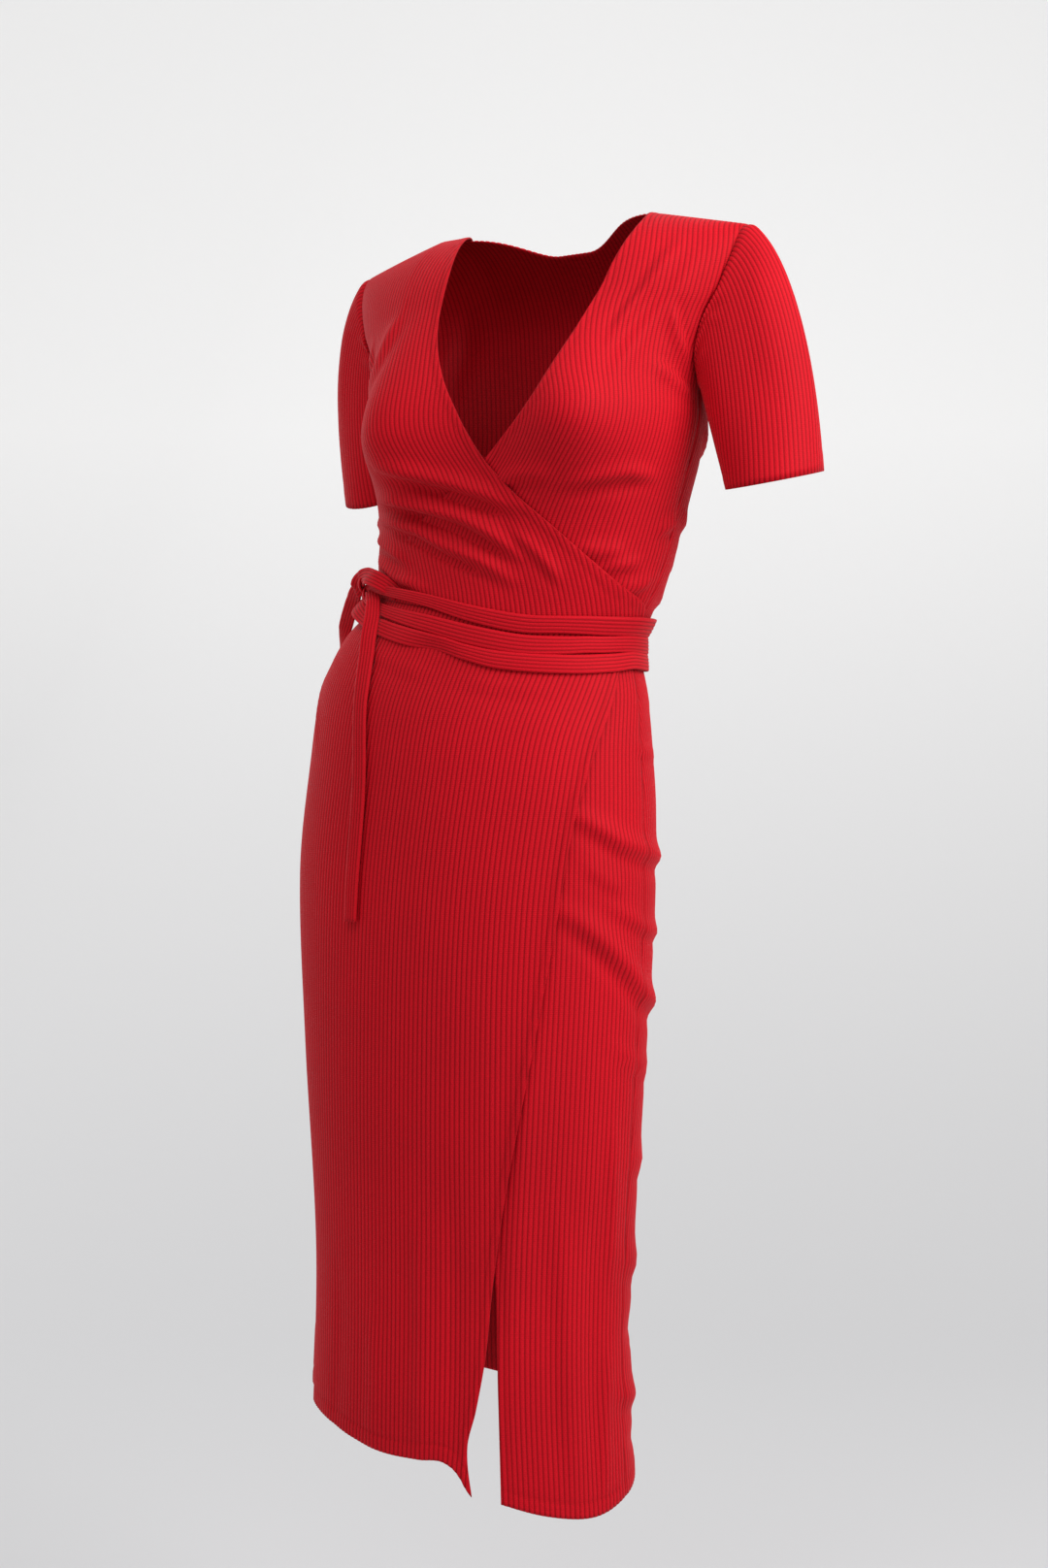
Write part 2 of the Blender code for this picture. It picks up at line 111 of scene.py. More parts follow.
CORNER_CURL = 0.0060  # how far the wrap's free corner curls out
LIP = 0.0016  # how far the wrap's free edge stands out
LIP_REACH = 3.6  # degrees

# height, centre_x, centre_y, half_width, front_depth, back_depth, slope to the wearer's left
RINGS = (
    (0.000, 0.000, 0.010, 0.204, 0.070, 0.078, 0.00),
    (-0.050, -0.003, 0.008, 0.196, 0.088, 0.090, 0.00),
    (-0.100, -0.003, 0.004, 0.175, 0.098, 0.100, 0.00),
    (-0.155, 0.001, 0.000, 0.154, 0.104, 0.104, 0.00),
    (-0.190, 0.002, -0.003, 0.152, 0.104, 0.104, 0.00),
    (-0.250, -0.006, -0.009, 0.147, 0.098, 0.100, 0.00),
    (-0.310, -0.016, -0.015, 0.139, 0.091, 0.094, -0.08),
    (-0.355, -0.028, -0.018, 0.126, 0.091, 0.094, -0.18),
    (-0.395, -0.041, -0.022, 0.147, 0.096, 0.102, -0.20),
    (-0.440, -0.048, -0.028, 0.160, 0.104, 0.114, -0.18),
    (-0.500, -0.050, -0.032, 0.167, 0.108, 0.120, -0.15),
    (-0.600, -0.054, -0.036, 0.172, 0.110, 0.118, -0.14),
    (-0.750, -0.053, -0.040, 0.164, 0.108, 0.106, -0.14),
    (-0.940, -0.051, -0.042, 0.152, 0.104, 0.098, -0.14),
    (-1.110, -0.050, -0.044, 0.156, 0.108, 0.102, -0.14),
)

# Free edges. height, angle
RIGHT_NECKLINE = (
    (0.000, -24.0), (-0.030, -18.5), (-0.062, -14.5), (-0.095, -14.0), (-0.124, -12.5), (-0.150, -10.0),
    (-0.175, -6.5), (-0.200, -2.0), (-0.228, 5.0), (-0.255, 16.0), (-0.279, 30.0), (-0.301, 46.0),
    (-0.318, 64.0), (-0.332, 89.0), (-0.352, 90.0),
)
LEFT_NECKLINE = (
    (0.000, 30.5), (-0.030, 35.0), (-0.060, 35.0), (-0.090, 33.0), (-0.125, 29.0), (-0.162, 22.5),
    (-0.189, 15.5), (-0.208, 9.5), (-0.228, 2.5), (-0.255, -11.0), (-0.285, -28.0), (-0.315, -43.0),
    (-0.352, -58.0),
)
RIGHT_WRAP_EDGE = (
    (-0.352, 86.0), (-0.377, 76.0), (-0.418, 67.0), (-0.467, 59.0), (-0.519, 53.0), (-0.598, 48.5),
    (-0.710, 42.0), (-0.836, 34.2), (-0.913, 30.5), (-0.968, 28.5), (-1.016, 25.2), (-1.048, 22.4),
    (-1.084, 24.5),
)
LEFT_WRAP_EDGE = (
    (-0.352, -45.0), (-0.520, -14.0), (-0.680, 10.0), (-0.820, 25.0), (-0.900, 31.0), (-1.000, 32.5),
    (-1.092, 33.5),
)
# Hems. angle, height
RIGHT_HEM = (
    (-90.0, -1.066), (-40.0, -1.070), (-10.0, -1.073), (6.0, -1.068), (13.0, -1.064), (17.0, -1.066),
    (20.0, -1.071), (22.5, -1.079), (24.5, -1.085),
)
LEFT_HEM = ((30.0, -1.088), (50.0, -1.095), (70.0, -1.096), (90.0, -1.086))
BACK_HEM = ((90.0, -1.086), (135.0, -1.066), (180.0, -1.055), (225.0, -1.056), (270.0, -1.066))

# One rib of each panel, which the others run beside at even spacing. height, angle
RIGHT_BODICE_RIB = (
    (0.000, -38.0), (-0.050, -41.0), (-0.100, -43.0), (-0.150, -43.0), (-0.200, -41.0), (-0.250, -34.0),
    (-0.300, -24.0), (-0.352, -15.0),
)
LEFT_BODICE_RIB = ((0.000, 90.0), (-0.352, 90.0))
BACK_RIB = ((0.000, 180.0), (-1.110, 180.0))
RIGHT_SKIRT_RIB = (
    (-0.352, 22.5), (-0.400, 19.0), (-0.460, 16.0), (-0.560, 13.0), (-0.700, 11.5), (-1.110, 11.0),
)
LEFT_SKIRT_RIB = ((-0.352, 62.0), (-0.480, 60.0), (-0.620, 60.0), (-1.000, 60.0), (-1.110, 61.0))

# How strongly each table's creases show
RIGHT_GAIN = 3.0
LEFT_GAIN = 2.6
BACK_GAIN = 1.8

# Creases, each a ridge (or a trough, where out is negative) through places on the form.
# half_width, out, places (angle, height)
BODICE_RIGHT_FOLDS = (
    (0.0060, 0.0024, ((-34.0, -0.222), (-20.0, -0.231), (-6.0, -0.243), (7.0, -0.255), (17.0, -0.266))),
    (0.0050, -0.0012, ((-26.0, -0.238), (-10.0, -0.252), (4.0, -0.264), (12.0, -0.272))),
    (0.0060, 0.0028, ((-47.0, -0.245), (-30.0, -0.252), (-13.0, -0.265), (-1.0, -0.275), (9.0, -0.287),
                       (21.0, -0.304))),
    (0.0050, -0.0013, ((-40.0, -0.258), (-22.0, -0.268), (-6.0, -0.280), (4.0, -0.291), (14.0, -0.305))),
    (0.0055, 0.0022, ((-50.0, -0.264), (-38.0, -0.270), (-23.0, -0.281), (-9.0, -0.298), (6.0, -0.309),
                       (20.0, -0.323))),
    (0.0050, -0.0010, ((-36.0, -0.283), (-20.0, -0.295), (-6.0, -0.309), (6.0, -0.320))),
    (0.0050, 0.0018, ((-57.0, -0.304), (-46.0, -0.318), (-33.0, -0.329), (-17.0, -0.336))),
    (0.0050, 0.0013, ((-62.0, -0.282), (-52.0, -0.290), (-40.0, -0.300), (-28.0, -0.312))),
    (0.0045, 0.0011, ((16.0, -0.283), (28.0, -0.303), (38.0, -0.320))),
    (0.0080, 0.0012, ((-52.0, -0.160), (-40.0, -0.130), (-30.0, -0.085))),
    (0.0060, 0.0012, ((-73.0, -0.150), (-60.0, -0.128), (-52.0, -0.100))),
    (0.0060, 0.0011, ((-80.0, -0.250), (-72.0, -0.262), (-62.0, -0.270))),
)
BODICE_LEFT_FOLDS = (
    (0.0060, 0.0016, ((8.0, -0.244), (16.0, -0.240), (27.0, -0.243))),
    (0.0055, 0.0015, ((30.0, -0.250), (44.0, -0.245), (57.0, -0.240), (70.0, -0.242))),
    (0.0060, -0.0010, ((34.0, -0.259), (48.0, -0.254), (62.0, -0.251))),
    (0.0050, 0.0017, ((53.0, -0.045), (47.0, -0.085), (42.0, -0.128))),
    (0.0080, 0.0011, ((62.0, -0.060), (54.0, -0.110), (46.0, -0.165))),
    (0.0050, 0.0016, ((76.0, -0.140), (66.0, -0.118), (60.0, -0.095))),
    (0.0050, 0.0014, ((82.0, -0.168), (71.0, -0.158), (60.0, -0.146))),
    (0.0050, 0.0013, ((40.0, -0.296), (51.0, -0.298), (62.0, -0.296))),
    (0.0045, 0.0014, ((52.0, -0.307), (62.0, -0.306), (72.0, -0.303))),
    (0.0045, 0.0013, ((66.0, -0.322), (75.0, -0.319), (84.0, -0.315))),
    (0.0050, 0.0012, ((78.0, -0.280), (86.0, -0.276), (92.0, -0.272))),
)
BACK_FOLDS = (
    (0.0060, 0.0018, ((112.0, -0.300), (140.0, -0.312), (168.0, -0.306))),
    (0.0055, 0.0020, ((104.0, -0.322), (134.0, -0.331), (160.0, -0.324), (186.0, -0.328))),
    (0.0060, 0.0018, ((188.0, -0.309), (214.0, -0.317), (244.0, -0.302))),
    (0.0055, 0.0018, ((206.0, -0.334), (232.0, -0.333), (256.0, -0.321))),
    (0.0060, 0.0014, ((128.0, -0.282), (150.0, -0.291), (176.0, -0.288))),
    (0.0090, 0.0016, ((118.0, -0.150), (130.0, -0.100), (142.0, -0.060))),
    (0.0090, 0.0016, ((242.0, -0.150), (230.0, -0.102), (220.0, -0.064))),
    (0.0070, 0.0014, ((100.0, -0.190), (112.0, -0.205), (126.0, -0.214))),
    (0.0070, 0.0014, ((260.0, -0.194), (249.0, -0.206), (236.0, -0.212))),
    (0.0060, 0.0013, ((96.0, -0.262), (108.0, -0.270), (122.0, -0.270))),
)
SIDE_FOLDS = (  # these cross the left side seam
    (0.0086, 0.0050, ((50.0, -0.503), (56.0, -0.508), (64.0, -0.516), (74.0, -0.526), (90.0, -0.534),
                       (106.0, -0.540), (124.0, -0.540))),
    (0.0098, 0.0056, ((47.0, -0.583), (52.0, -0.590), (59.0, -0.599), (68.0, -0.613), (80.0, -0.634),
                       (92.0, -0.655), (110.0, -0.668), (128.0, -0.664))),
    (0.0066, 0.0030, ((70.0, -0.582), (80.0, -0.590), (92.0, -0.600), (108.0, -0.606), (122.0, -0.602))),
    (0.0070, 0.0024, ((72.0, -0.700), (86.0, -0.714), (102.0, -0.724), (116.0, -0.724))),
    (0.0110, 0.0026, ((88.0, -0.800), (104.0, -0.806), (122.0, -0.800), (136.0, -0.796))),
    (0.0130, 0.0034, ((86.0, -0.884), (100.0, -0.892), (118.0, -0.894), (134.0, -0.888))),
    (0.0160, -0.0030, ((90.0, -0.950), (106.0, -0.955), (122.0, -0.953), (138.0, -0.948))),
    (0.0100, 0.0034, ((84.0, -0.996), (98.0, -1.006), (116.0, -1.010), (132.0, -1.004))),
    (0.0110, -0.0022, ((94.0, -1.044), (110.0, -1.048), (128.0, -1.044))),
    (0.0050, 0.0020, ((84.0, -0.440), (96.0, -0.446), (110.0, -0.448))),
)
SKIRT_FOLDS = (
    (0.0070, 0.0016, ((58.0, -0.548), (66.0, -0.558), (76.0, -0.566))),
    (0.0100, 0.0020, ((42.0, -0.690), (40.0, -0.790), (37.0, -0.900), (36.5, -1.000))),
    (0.0110, 0.0026, ((54.0, -0.840), (58.0, -0.930), (60.0, -1.010), (61.0, -1.080))),
    (0.0100, -0.0018, ((68.0, -0.830), (70.0, -0.930), (69.0, -1.040))),
    (0.0080, 0.0020, ((76.0, -0.760), (79.0, -0.830), (80.0, -0.900))),
    (0.0080, 0.0022, ((80.0, -0.960), (77.0, -1.020), (76.0, -1.080))),
    (0.0085, -0.0020, ((16.0, -0.820), (17.0, -0.920), (17.0, -1.060))),
    (0.0080, 0.0016, ((4.0, -0.870), (6.0, -0.960), (6.0, -1.070))),
    (0.0100, 0.0016, ((-14.0, -0.960), (-12.0, -1.020), (-13.0, -1.080))),
    (0.0100, -0.0014, ((-32.0, -0.930), (-31.0, -1.010), (-33.0, -1.080))),
    (0.0090, 0.0048, ((-77.0, -0.990), (-76.0, -1.040), (-76.0, -1.090))),
    (0.0085, -0.0026, ((-64.0, -1.010), (-63.0, -1.050), (-62.0, -1.090))),
    (0.0055, 0.0014, ((-40.0, -0.396), (-20.0, -0.402), (2.0, -0.408))),
    (0.0050, 0.0013, ((8.0, -0.405), (26.0, -0.407), (46.0, -0.402))),
    (0.0055, 0.0013, ((-70.0, -0.420), (-58.0, -0.450), (-50.0, -0.490))),
)
BACK_SKIRT_FOLDS = (
    (0.0060, 0.0020, ((112.0, -0.402), (146.0, -0.412), (176.0, -0.406))),
    (0.0060, 0.0018, ((186.0, -0.404), (216.0, -0.413), (246.0, -0.403))),
    (0.0090, 0.0024, ((142.0, -0.432), (162.0, -0.452), (186.0, -0.458), (206.0, -0.448))),
    (0.0110, 0.0030, ((150.0, -0.640), (170.0, -0.668), (196.0, -0.670), (214.0, -0.655))),
    (0.0100, 0.0022, ((230.0, -0.560), (242.0, -0.586), (254.0, -0.596))),
    (0.0150, 0.0034, ((128.0, -0.740), (126.0, -0.860), (124.0, -1.050))),
    (0.0160, 0.0032, ((168.0, -0.740), (170.0, -0.880), (171.0, -1.050))),
    (0.0150, -0.0024, ((148.0, -0.760), (148.0, -0.900), (147.0, -1.050))),
    (0.0160, 0.0032, ((212.0, -0.720), (210.0, -0.880), (208.0, -1.050))),
    (0.0150, -0.0024, ((232.0, -0.760), (231.0, -0.900), (230.0, -1.050))),
    (0.0120, 0.0022, ((252.0, -0.760), (252.0, -0.900), (251.0, -1.060))),
)

# The tie's three stretches. angle, top, bottom, extra lift
TIE_UPPER = (
    (-66.0, -0.3362, -0.3460, 0.0120), (-58.0, -0.3365, -0.3466, 0.0100),
    (-48.0, -0.3370, -0.3478, 0.0068), (-35.0, -0.3380, -0.3490, 0.0035),
    (-14.0, -0.3406, -0.3516, 0.0004), (8.0, -0.3448, -0.3580, 0.0), (29.0, -0.3460, -0.3602, 0.0),
    (46.0, -0.3426, -0.3560, 0.0), (60.0, -0.3398, -0.3534, 0.0), (90.0, -0.3364, -0.3496, 0.0),
    (180.0, -0.3374, -0.3527, 0.0), (250.0, -0.3344, -0.3497, 0.0), (280.0, -0.3335, -0.3450, 0.002),
    (292.0, -0.3330, -0.3430, 0.006),
)
TIE_MIDDLE = (
    (-66.5, -0.3470, -0.3590, 0.0085), (-56.0, -0.3515, -0.3630, 0.0070), (-45.0, -0.3560, -0.3670, 0.0020),
    (-30.0, -0.3580, -0.3694, 0.0),
    (-9.0, -0.3588, -0.3731, 0.0), (11.0, -0.3610, -0.3766, 0.0), (30.0, -0.3616, -0.3769, 0.0),
    (48.0, -0.3578, -0.3717, 0.0), (60.0, -0.3545, -0.3678, 0.0), (90.0, -0.3495, -0.3625, 0.0),
    (180.0, -0.3529, -0.3682, 0.0), (250.0, -0.3499, -0.3652, 0.0),
    (275.0, -0.3480, -0.3615, 0.0020), (286.5, -0.3470, -0.3594, 0.0075),
)
TIE_LOWER = (
    (-66.5, -0.3600, -0.3740, 0.0085), (-56.0, -0.3645, -0.3780, 0.0070), (-45.0, -0.3690, -0.3810, 0.0020),
    (-30.0, -0.3712, -0.3842, 0.0),
    (-14.0, -0.3731, -0.3872, 0.0), (1.0, -0.3746, -0.3865, 0.0), (10.0, -0.3768, -0.3892, 0.0),
    (23.0, -0.3772, -0.3916, 0.0), (49.0, -0.3718, -0.3862, 0.0), (71.0, -0.3660, -0.3798, 0.0),
    (90.0, -0.3622, -0.3752, 0.0), (180.0, -0.3684, -0.3837, 0.0), (250.0, -0.3649, -0.3802, 0.0),
    (275.0, -0.3624, -0.3770, 0.0020), (286.5, -0.3604, -0.3744, 0.0075),
)
# The free ends. angle, height, lift, width, share turned towards the front
TAIL_FRONT = (
    (-52.0, -0.3455, 0.0110, 0.0125, 1.0), (-46.0, -0.3544, 0.0120, 0.0130, 1.0),
    (-40.0, -0.3650, 0.0122, 0.0132, 1.0), (-34.5, -0.3761, 0.0112, 0.0140, 0.9),
    (-28.5, -0.3959, 0.0088, 0.0152, 0.5), (-24.1, -0.4225, 0.0070, 0.0160, 0.2),
    (-21.5, -0.4500, 0.0062, 0.0160, 0.0), (-19.6, -0.4795, 0.0060, 0.0160, 0.0),
    (-18.4, -0.5080, 0.0060, 0.0160, 0.0), (-17.8, -0.5342, 0.0060, 0.0160, 0.0),
    (-17.7, -0.5650, 0.0058, 0.0158, 0.0), (-17.9, -0.5960, 0.0058, 0.0152, 0.0),
    (-18.2, -0.6265, 0.0058, 0.0140, 0.0),
)
TAIL_BACK = (
    (-33.0, -0.3450, 0.0012, 0.0125, 0.8), (-37.0, -0.3390, 0.0062, 0.0138, 1.0),
    (-41.0, -0.3328, 0.0125, 0.0150, 1.0),
    (-46.0, -0.3282, 0.0158, 0.0155, 1.0), (-52.0, -0.3255, 0.0166, 0.0155, 1.0),
    (-58.0, -0.3274, 0.0185, 0.0150, 1.0), (-64.0, -0.3357, 0.0212, 0.0145, 1.0),
    (-69.0, -0.3620, 0.0223, 0.0140, 1.0), (-74.0, -0.3728, 0.0202, 0.0140, 1.0),
    (-79.0, -0.3820, 0.0170, 0.0145, 0.95), (-84.0, -0.3907, 0.0148, 0.0150, 0.85),
    (-88.0, -0.4010, 0.0135, 0.0155, 0.6), (-92.0, -0.4180, 0.0110, 0.0160, 0.3),
    (-94.5, -0.4400, 0.0080, 0.0160, 0.0), (-96.0, -0.4660, 0.0064, 0.0160, 0.0),
    (-98.0, -0.4960, 0.0060, 0.0160, 0.0), (-98.5, -0.5260, 0.0060, 0.0160, 0.0),
    (-99.0, -0.5550, 0.0060, 0.0160, 0.0), (-99.0, -0.5840, 0.0060, 0.0152, 0.0),
    (-99.0, -0.6095, 0.0060, 0.0140, 0.0),
)
KNOT_ANGLE = -60.0
KNOT_HEIGHT = -0.3355
KNOT_LIFT = 0.0140


def smooth_step(low, high, value):
    """0 at low and before it, 1 at high and past it."""
    t = np.clip((value - low) / (high - low), 0.0, 1.0)
    return t * t * (3.0 - 2.0 * t)


def read_curve(table, value, column=1):
    """A smooth curve through a table's rows, keyed by its first column."""
    rows = np.array(sorted(table), float)
    key = rows[:, 0]
    held = rows[:, column]
    value = np.clip(np.asarray(value, float), key[0], key[-1])
    i = np.clip(np.searchsorted(key, value, side="right") - 1, 0, len(key) - 2)
    low = np.maximum(np.arange(len(key)) - 1, 0)
    high = np.minimum(np.arange(len(key)) + 1, len(key) - 1)
    slope = (held[high] - held[low]) / (key[high] - key[low])
    span = key[i + 1] - key[i]
    t = (value - key[i]) / span
    start = (2 * t**3 - 3 * t**2 + 1) * held[i] + (t**3 - 2 * t**2 + t) * span * slope[i]
    end = (3 * t**2 - 2 * t**3) * held[i + 1] + (t**3 - t**2) * span * slope[i + 1]
    return start + end


def bare_form(angle, height):
    """Places on the worn form: angle in degrees round it, height below the neck points."""
    angle, height = np.broadcast_arrays(np.asarray(angle, float), np.asarray(height, float))
    centre_x, centre_y, half_width, front, back, slope = (read_curve(RINGS, height, c) for c in range(1, 7))
    across = np.sin(np.radians(angle))
    forward = np.cos(np.radians(angle))
    turn = np.clip((height + SHOULDER_ROUND) / SHOULDER_ROUND, 0.0, 1.0) * pi / 2
    z = np.where(height > -SHOULDER_ROUND, SHOULDER_ROUND * (np.sin(turn) - 1.0), height)
    x = centre_x + half_width * across
    y = centre_y - np.where(forward > 0, front, back) * np.cos(turn) * forward
    beyond = np.maximum(0.0, (np.abs(x) - NECK_X) / (TIP_X - NECK_X))
    z = z + slope * (x - centre_x) - SHOULDER_DROP * beyond * smooth_step(ARMPIT, 0.0, height)
    for side in (-1, 1):
        below = np.where(z < CUP_Z, CUP_BELOW, CUP_ABOVE)
        reach = ((x - side * CUP_X) / CUP_RADIUS) ** 2 + ((z - CUP_Z) / (CUP_RADIUS * below)) ** 2
        swell = CUP_DEPTH * np.exp(-reach) * np.sqrt(np.maximum(forward, 0.0))
        y = y - CUP_FORWARD * swell
        x = x + CUP_ASIDE * side * swell
    return np.stack([x, y, z], -1)


def unit(vectors):
    return vectors / np.maximum(np.linalg.norm(vectors, axis=-1, keepdims=True), 1e-12)


def outward(angle, height):
    """The way out of the form. It is level at the shoulder line, so the sewn edges there meet."""
    height = np.asarray(height, float)
    top = np.minimum(height + 0.0008, 0.0)
    across = bare_form(angle + 0.5, height) - bare_form(angle - 0.5, height)
    up = bare_form(angle, top) - bare_form(angle, top - 0.0016)
    normal = np.cross(across, up)
    normal[..., 1] *= np.where(np.broadcast_to(height, normal.shape[:-1]) >= 0.0, 0.0, 1.0)
    return unit(normal)


def nearest(spots, x, y):
    """How far places are from a line, how fully a fold along it shows there, and if they lie below it."""
    lengths = np.linalg.norm(np.diff(spots, axis=0), axis=1)
    best = np.full(x.shape, 1e9)
    at = np.zeros(x.shape)
    under = np.zeros(x.shape, bool)
    travelled = 0.0
    for k, length in enumerate(lengths):
        along = (spots[k + 1] - spots[k]) / length
        dx = x - spots[k, 0]
        dy = y - spots[k, 1]
        held = np.clip(dx * along[0] + dy * along[1], 0.0, length)
        off = np.hypot(dx - held * along[0], dy - held * along[1])
        nearer = off < best
        best = np.where(nearer, off, best)
        under = np.where(nearer, along[0] * dy - along[1] * dx < 0.0, under)
        at = np.where(nearer, (travelled + held) / lengths.sum(), at)
        travelled += length
    return best, smooth_step(-0.12, 0.30, at) * smooth_step(1.12, 0.72, at), under


def fold_out(folds, angle, height, gain):
    """How far the creases of a table push the cloth out. They are steeper on their underside."""
    total = np.zeros(angle.shape)
    for half_width, out, places in folds:
        spots = np.array([(a * FOLD_ROUND, h) for a, h in places])
        best, ends, under = nearest(spots, angle * FOLD_ROUND, height)
        broad = half_width * (0.75 + 0.35 * ends) * np.where(under, 0.72, 1.15)
        total += gain * out * ends * np.exp(-((best / broad) ** 2))
        if out > 0.0:  # the cloth dips just under a ridge
            dip = np.where(under, (best - 1.55 * half_width) / (0.75 * half_width), 9.0)
            total -= gain * 0.30 * out * ends * np.exp(-(dip**2))
    return total


# ---------------------------------------------------------------- cloth material
def knit(name):
    """Rib knit: painted shade makes the grooves between ribs a deeper red than the rib tops, with fine
    stitches and a soft bloom of fibres.
    """
    material = bpy.data.materials.new(name)
    material.use_nodes = True
    tree = material.node_tree
    nodes = tree.nodes
    link = tree.links.new
    shader = nodes["Principled BSDF"]
    shader.inputs["Roughness"].default_value = 0.66
    shader.inputs["Specular IOR Level"].default_value = 0.10
    shader.inputs["Sheen Weight"].default_value = 0.10
    shader.inputs["Sheen Roughness"].default_value = 0.42
    shader.inputs["Sheen Tint"].default_value = (1.0, 0.42, 0.46, 1.0)
    place = nodes.new("ShaderNodeTexCoord")
    level = nodes.new("ShaderNodeAttribute")
    level.attribute_name = "rib"

    def noise(scale, detail):
        texture = nodes.new("ShaderNodeTexNoise")
        texture.inputs["Scale"].default_value = scale
        texture.inputs["Detail"].default_value = detail
        link(place.outputs["Object"], texture.inputs["Vector"])
        return texture.outputs["Fac"]

    def spread(value, low, high):
        """The middle of a noise, spread between two values."""
        reach = nodes.new("ShaderNodeMapRange")
        for name_in, number in (("From Min", 0.30), ("From Max", 0.70), ("To Min", low), ("To Max", high)):
            reach.inputs[name_in].default_value = number
        link(value, reach.inputs["Value"])
        return reach.outputs["Result"]

    cloud = noise(9.0, 3.0)
    fluff = noise(1100.0, 2.0)
    # Painted shade: the colour runs from a dark red where the rib level is low, in the grooves, to the knit's
    # own red on the rib tops.
    groove_shade_ramp = nodes.new("ShaderNodeValToRGB")
    groove_shade_ramp.color_ramp.elements[0].position = 0.0
    groove_shade_ramp.color_ramp.elements[0].color = (0.230, 0.0006, 0.0036, 1.0)
    groove_shade_ramp.color_ramp.elements[1].position = 1.0
    groove_shade_ramp.color_ramp.elements[1].color = (0.560, 0.0030, 0.0120, 1.0)
    middle = groove_shade_ramp.color_ramp.elements.new(0.55)
    middle.color = (0.460, 0.0018, 0.0080, 1.0)
    link(level.outputs["Fac"], groove_shade_ramp.inputs["Fac"])
    both = nodes.new("ShaderNodeMath")
    both.operation = "MULTIPLY"
    link(spread(cloud, 0.93, 1.05), both.inputs[0])
    link(spread(fluff, 0.88, 1.10), both.inputs[1])
    tint = nodes.new("ShaderNodeVectorMath")
    tint.operation = "SCALE"
    link(groove_shade_ramp.outputs["Color"], tint.inputs[0])
    link(both.outputs["Value"], tint.inputs["Scale"])
    link(tint.outputs["Vector"], shader.inputs["Base Color"])
    stitches = nodes.new("ShaderNodeTexWave")
    stitches.wave_type = "BANDS"
    stitches.bands_direction = "Z"
    stitches.inputs["Scale"].default_value = 190.0
    stitches.inputs["Distortion"].default_value = 1.2
    stitches.inputs["Detail"].default_value = 1.0
    stitches.inputs["Detail Scale"].default_value = 3.0
    link(place.outputs["Object"], stitches.inputs["Vector"])
    rough = nodes.new("ShaderNodeMath")
    rough.operation = "MULTIPLY_ADD"
    rough.inputs[1].default_value = 0.35
    link(stitches.outputs["Fac"], rough.inputs[0])
    link(fluff, rough.inputs[2])
    bump = nodes.new("ShaderNodeBump")
    bump.inputs["Strength"].default_value = 0.55
    bump.inputs["Distance"].default_value = 0.0004
    link(rough.outputs["Value"], bump.inputs["Height"])
    link(bump.outputs["Normal"], shader.inputs["Normal"])
    return material


CLOTH_LOOK = knit("rib_knit")


# ---------------------------------------------------------------- mesh making
def quads(first, second):
    """Faces between two lines of corner numbers, those of no size left out."""
    faces = []
    for corners in zip(first[:-1], first[1:], second[1:], second[:-1]):
        face = [c for k, c in enumerate(corners) if c != corners[k - 1]]
        if len(face) > 2 and len(set(face)) == len(face):
            faces.append(tuple(int(c) for c in face))
    return faces


def cloth_mesh(name, outer, inner, rib, numbers, ring=False):
    """A closed wall of cloth from two grids of points; numbers says which points close up into one."""
    rows, columns = numbers.shape
    points = np.concatenate([outer.reshape(-1, 3), inner.reshape(-1, 3)])
    within = numbers + rows * columns
    if ring:
        numbers = np.concatenate([numbers, numbers[:, :1]], axis=1)
        within = np.concatenate([within, within[:, :1]], axis=1)
    faces = []
    for j in range(rows - 1):
        faces += quads(numbers[j], numbers[j + 1])
        faces += quads(within[j + 1], within[j])
    faces += quads(within[0], numbers[0])
    faces += quads(numbers[-1], within[-1])
    if not ring:
        faces += quads(numbers[:, 0], within[:, 0])
        faces += quads(within[:, -1], numbers[:, -1])
    used = np.unique(np.array([c for face in faces for c in face]))
    renumber = np.full(len(points), -1)
    renumber[used] = np.arange(len(used))
    mesh = bpy.data.meshes.new(name)
    mesh.from_pydata(points[used].tolist(), [], [tuple(int(renumber[c]) for c in face) for face in faces])
    # The rib level, which the knit turns into painted shade in the grooves; the inner wall gets three
    # quarters of it, so it shows darker.
    level = np.concatenate([rib.ravel(), 0.75 * rib.ravel()])[used]
    layer = mesh.attributes.new("rib", "FLOAT", "POINT")
    layer.data.foreach_set("value", level.astype(np.float32))
    mesh.shade_smooth()
    mesh.update()
    piece = bpy.data.objects.new(name, mesh)
    bpy.context.scene.collection.objects.link(piece)
    return piece


def finish_piece(piece, node):
    """The knit, and what the piece stands for: the CAD node it covers."""
    piece.data.materials.append(CLOTH_LOOK)
    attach(piece, "root")
    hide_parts(node)


PHASES = ((0.0, 0.0), (0.28, 1.0), (0.72, 1.0))  # across a rib: place, height


def rib_grid(rows, one_rib, lowest, highest):
    """An angle for each row and column, three columns to a rib, and the rib's height at each column."""
    fine = np.arange(lowest - 2.0, highest + 2.25, 0.5)
    reaches = []
    for height in rows:
        steps = np.linalg.norm(np.diff(bare_form(fine, height), axis=0), axis=1)
        along = np.concatenate([[0.0], np.cumsum(steps)])
        reaches.append(along - np.interp(read_curve(one_rib, height), fine, along))
    first = int(np.floor(min(along[0] for along in reaches) / RIB))
    last = int(np.ceil(max(along[-1] for along in reaches) / RIB))
    place = np.array([(k + phase) * RIB for k in range(first, last + 1) for phase, _ in PHASES])
    level = np.array([high for _ in range(first, last + 1) for _, high in PHASES])
    return np.stack([np.interp(place, along, fine) for along in reaches]), level


def edge_distance(angle, height, edge):
    """Metres from places on the form to an edge given as an angle for a height."""
    per_degree = np.linalg.norm(bare_form(angle + 1.0, height) - bare_form(angle - 1.0, height), axis=-1) / 2
    lean = (edge(height + 0.002) - edge(height - 0.002)) / 0.004 * per_degree
    return np.abs(angle - edge(height)) * per_degree / np.sqrt(1.0 + lean * lean)


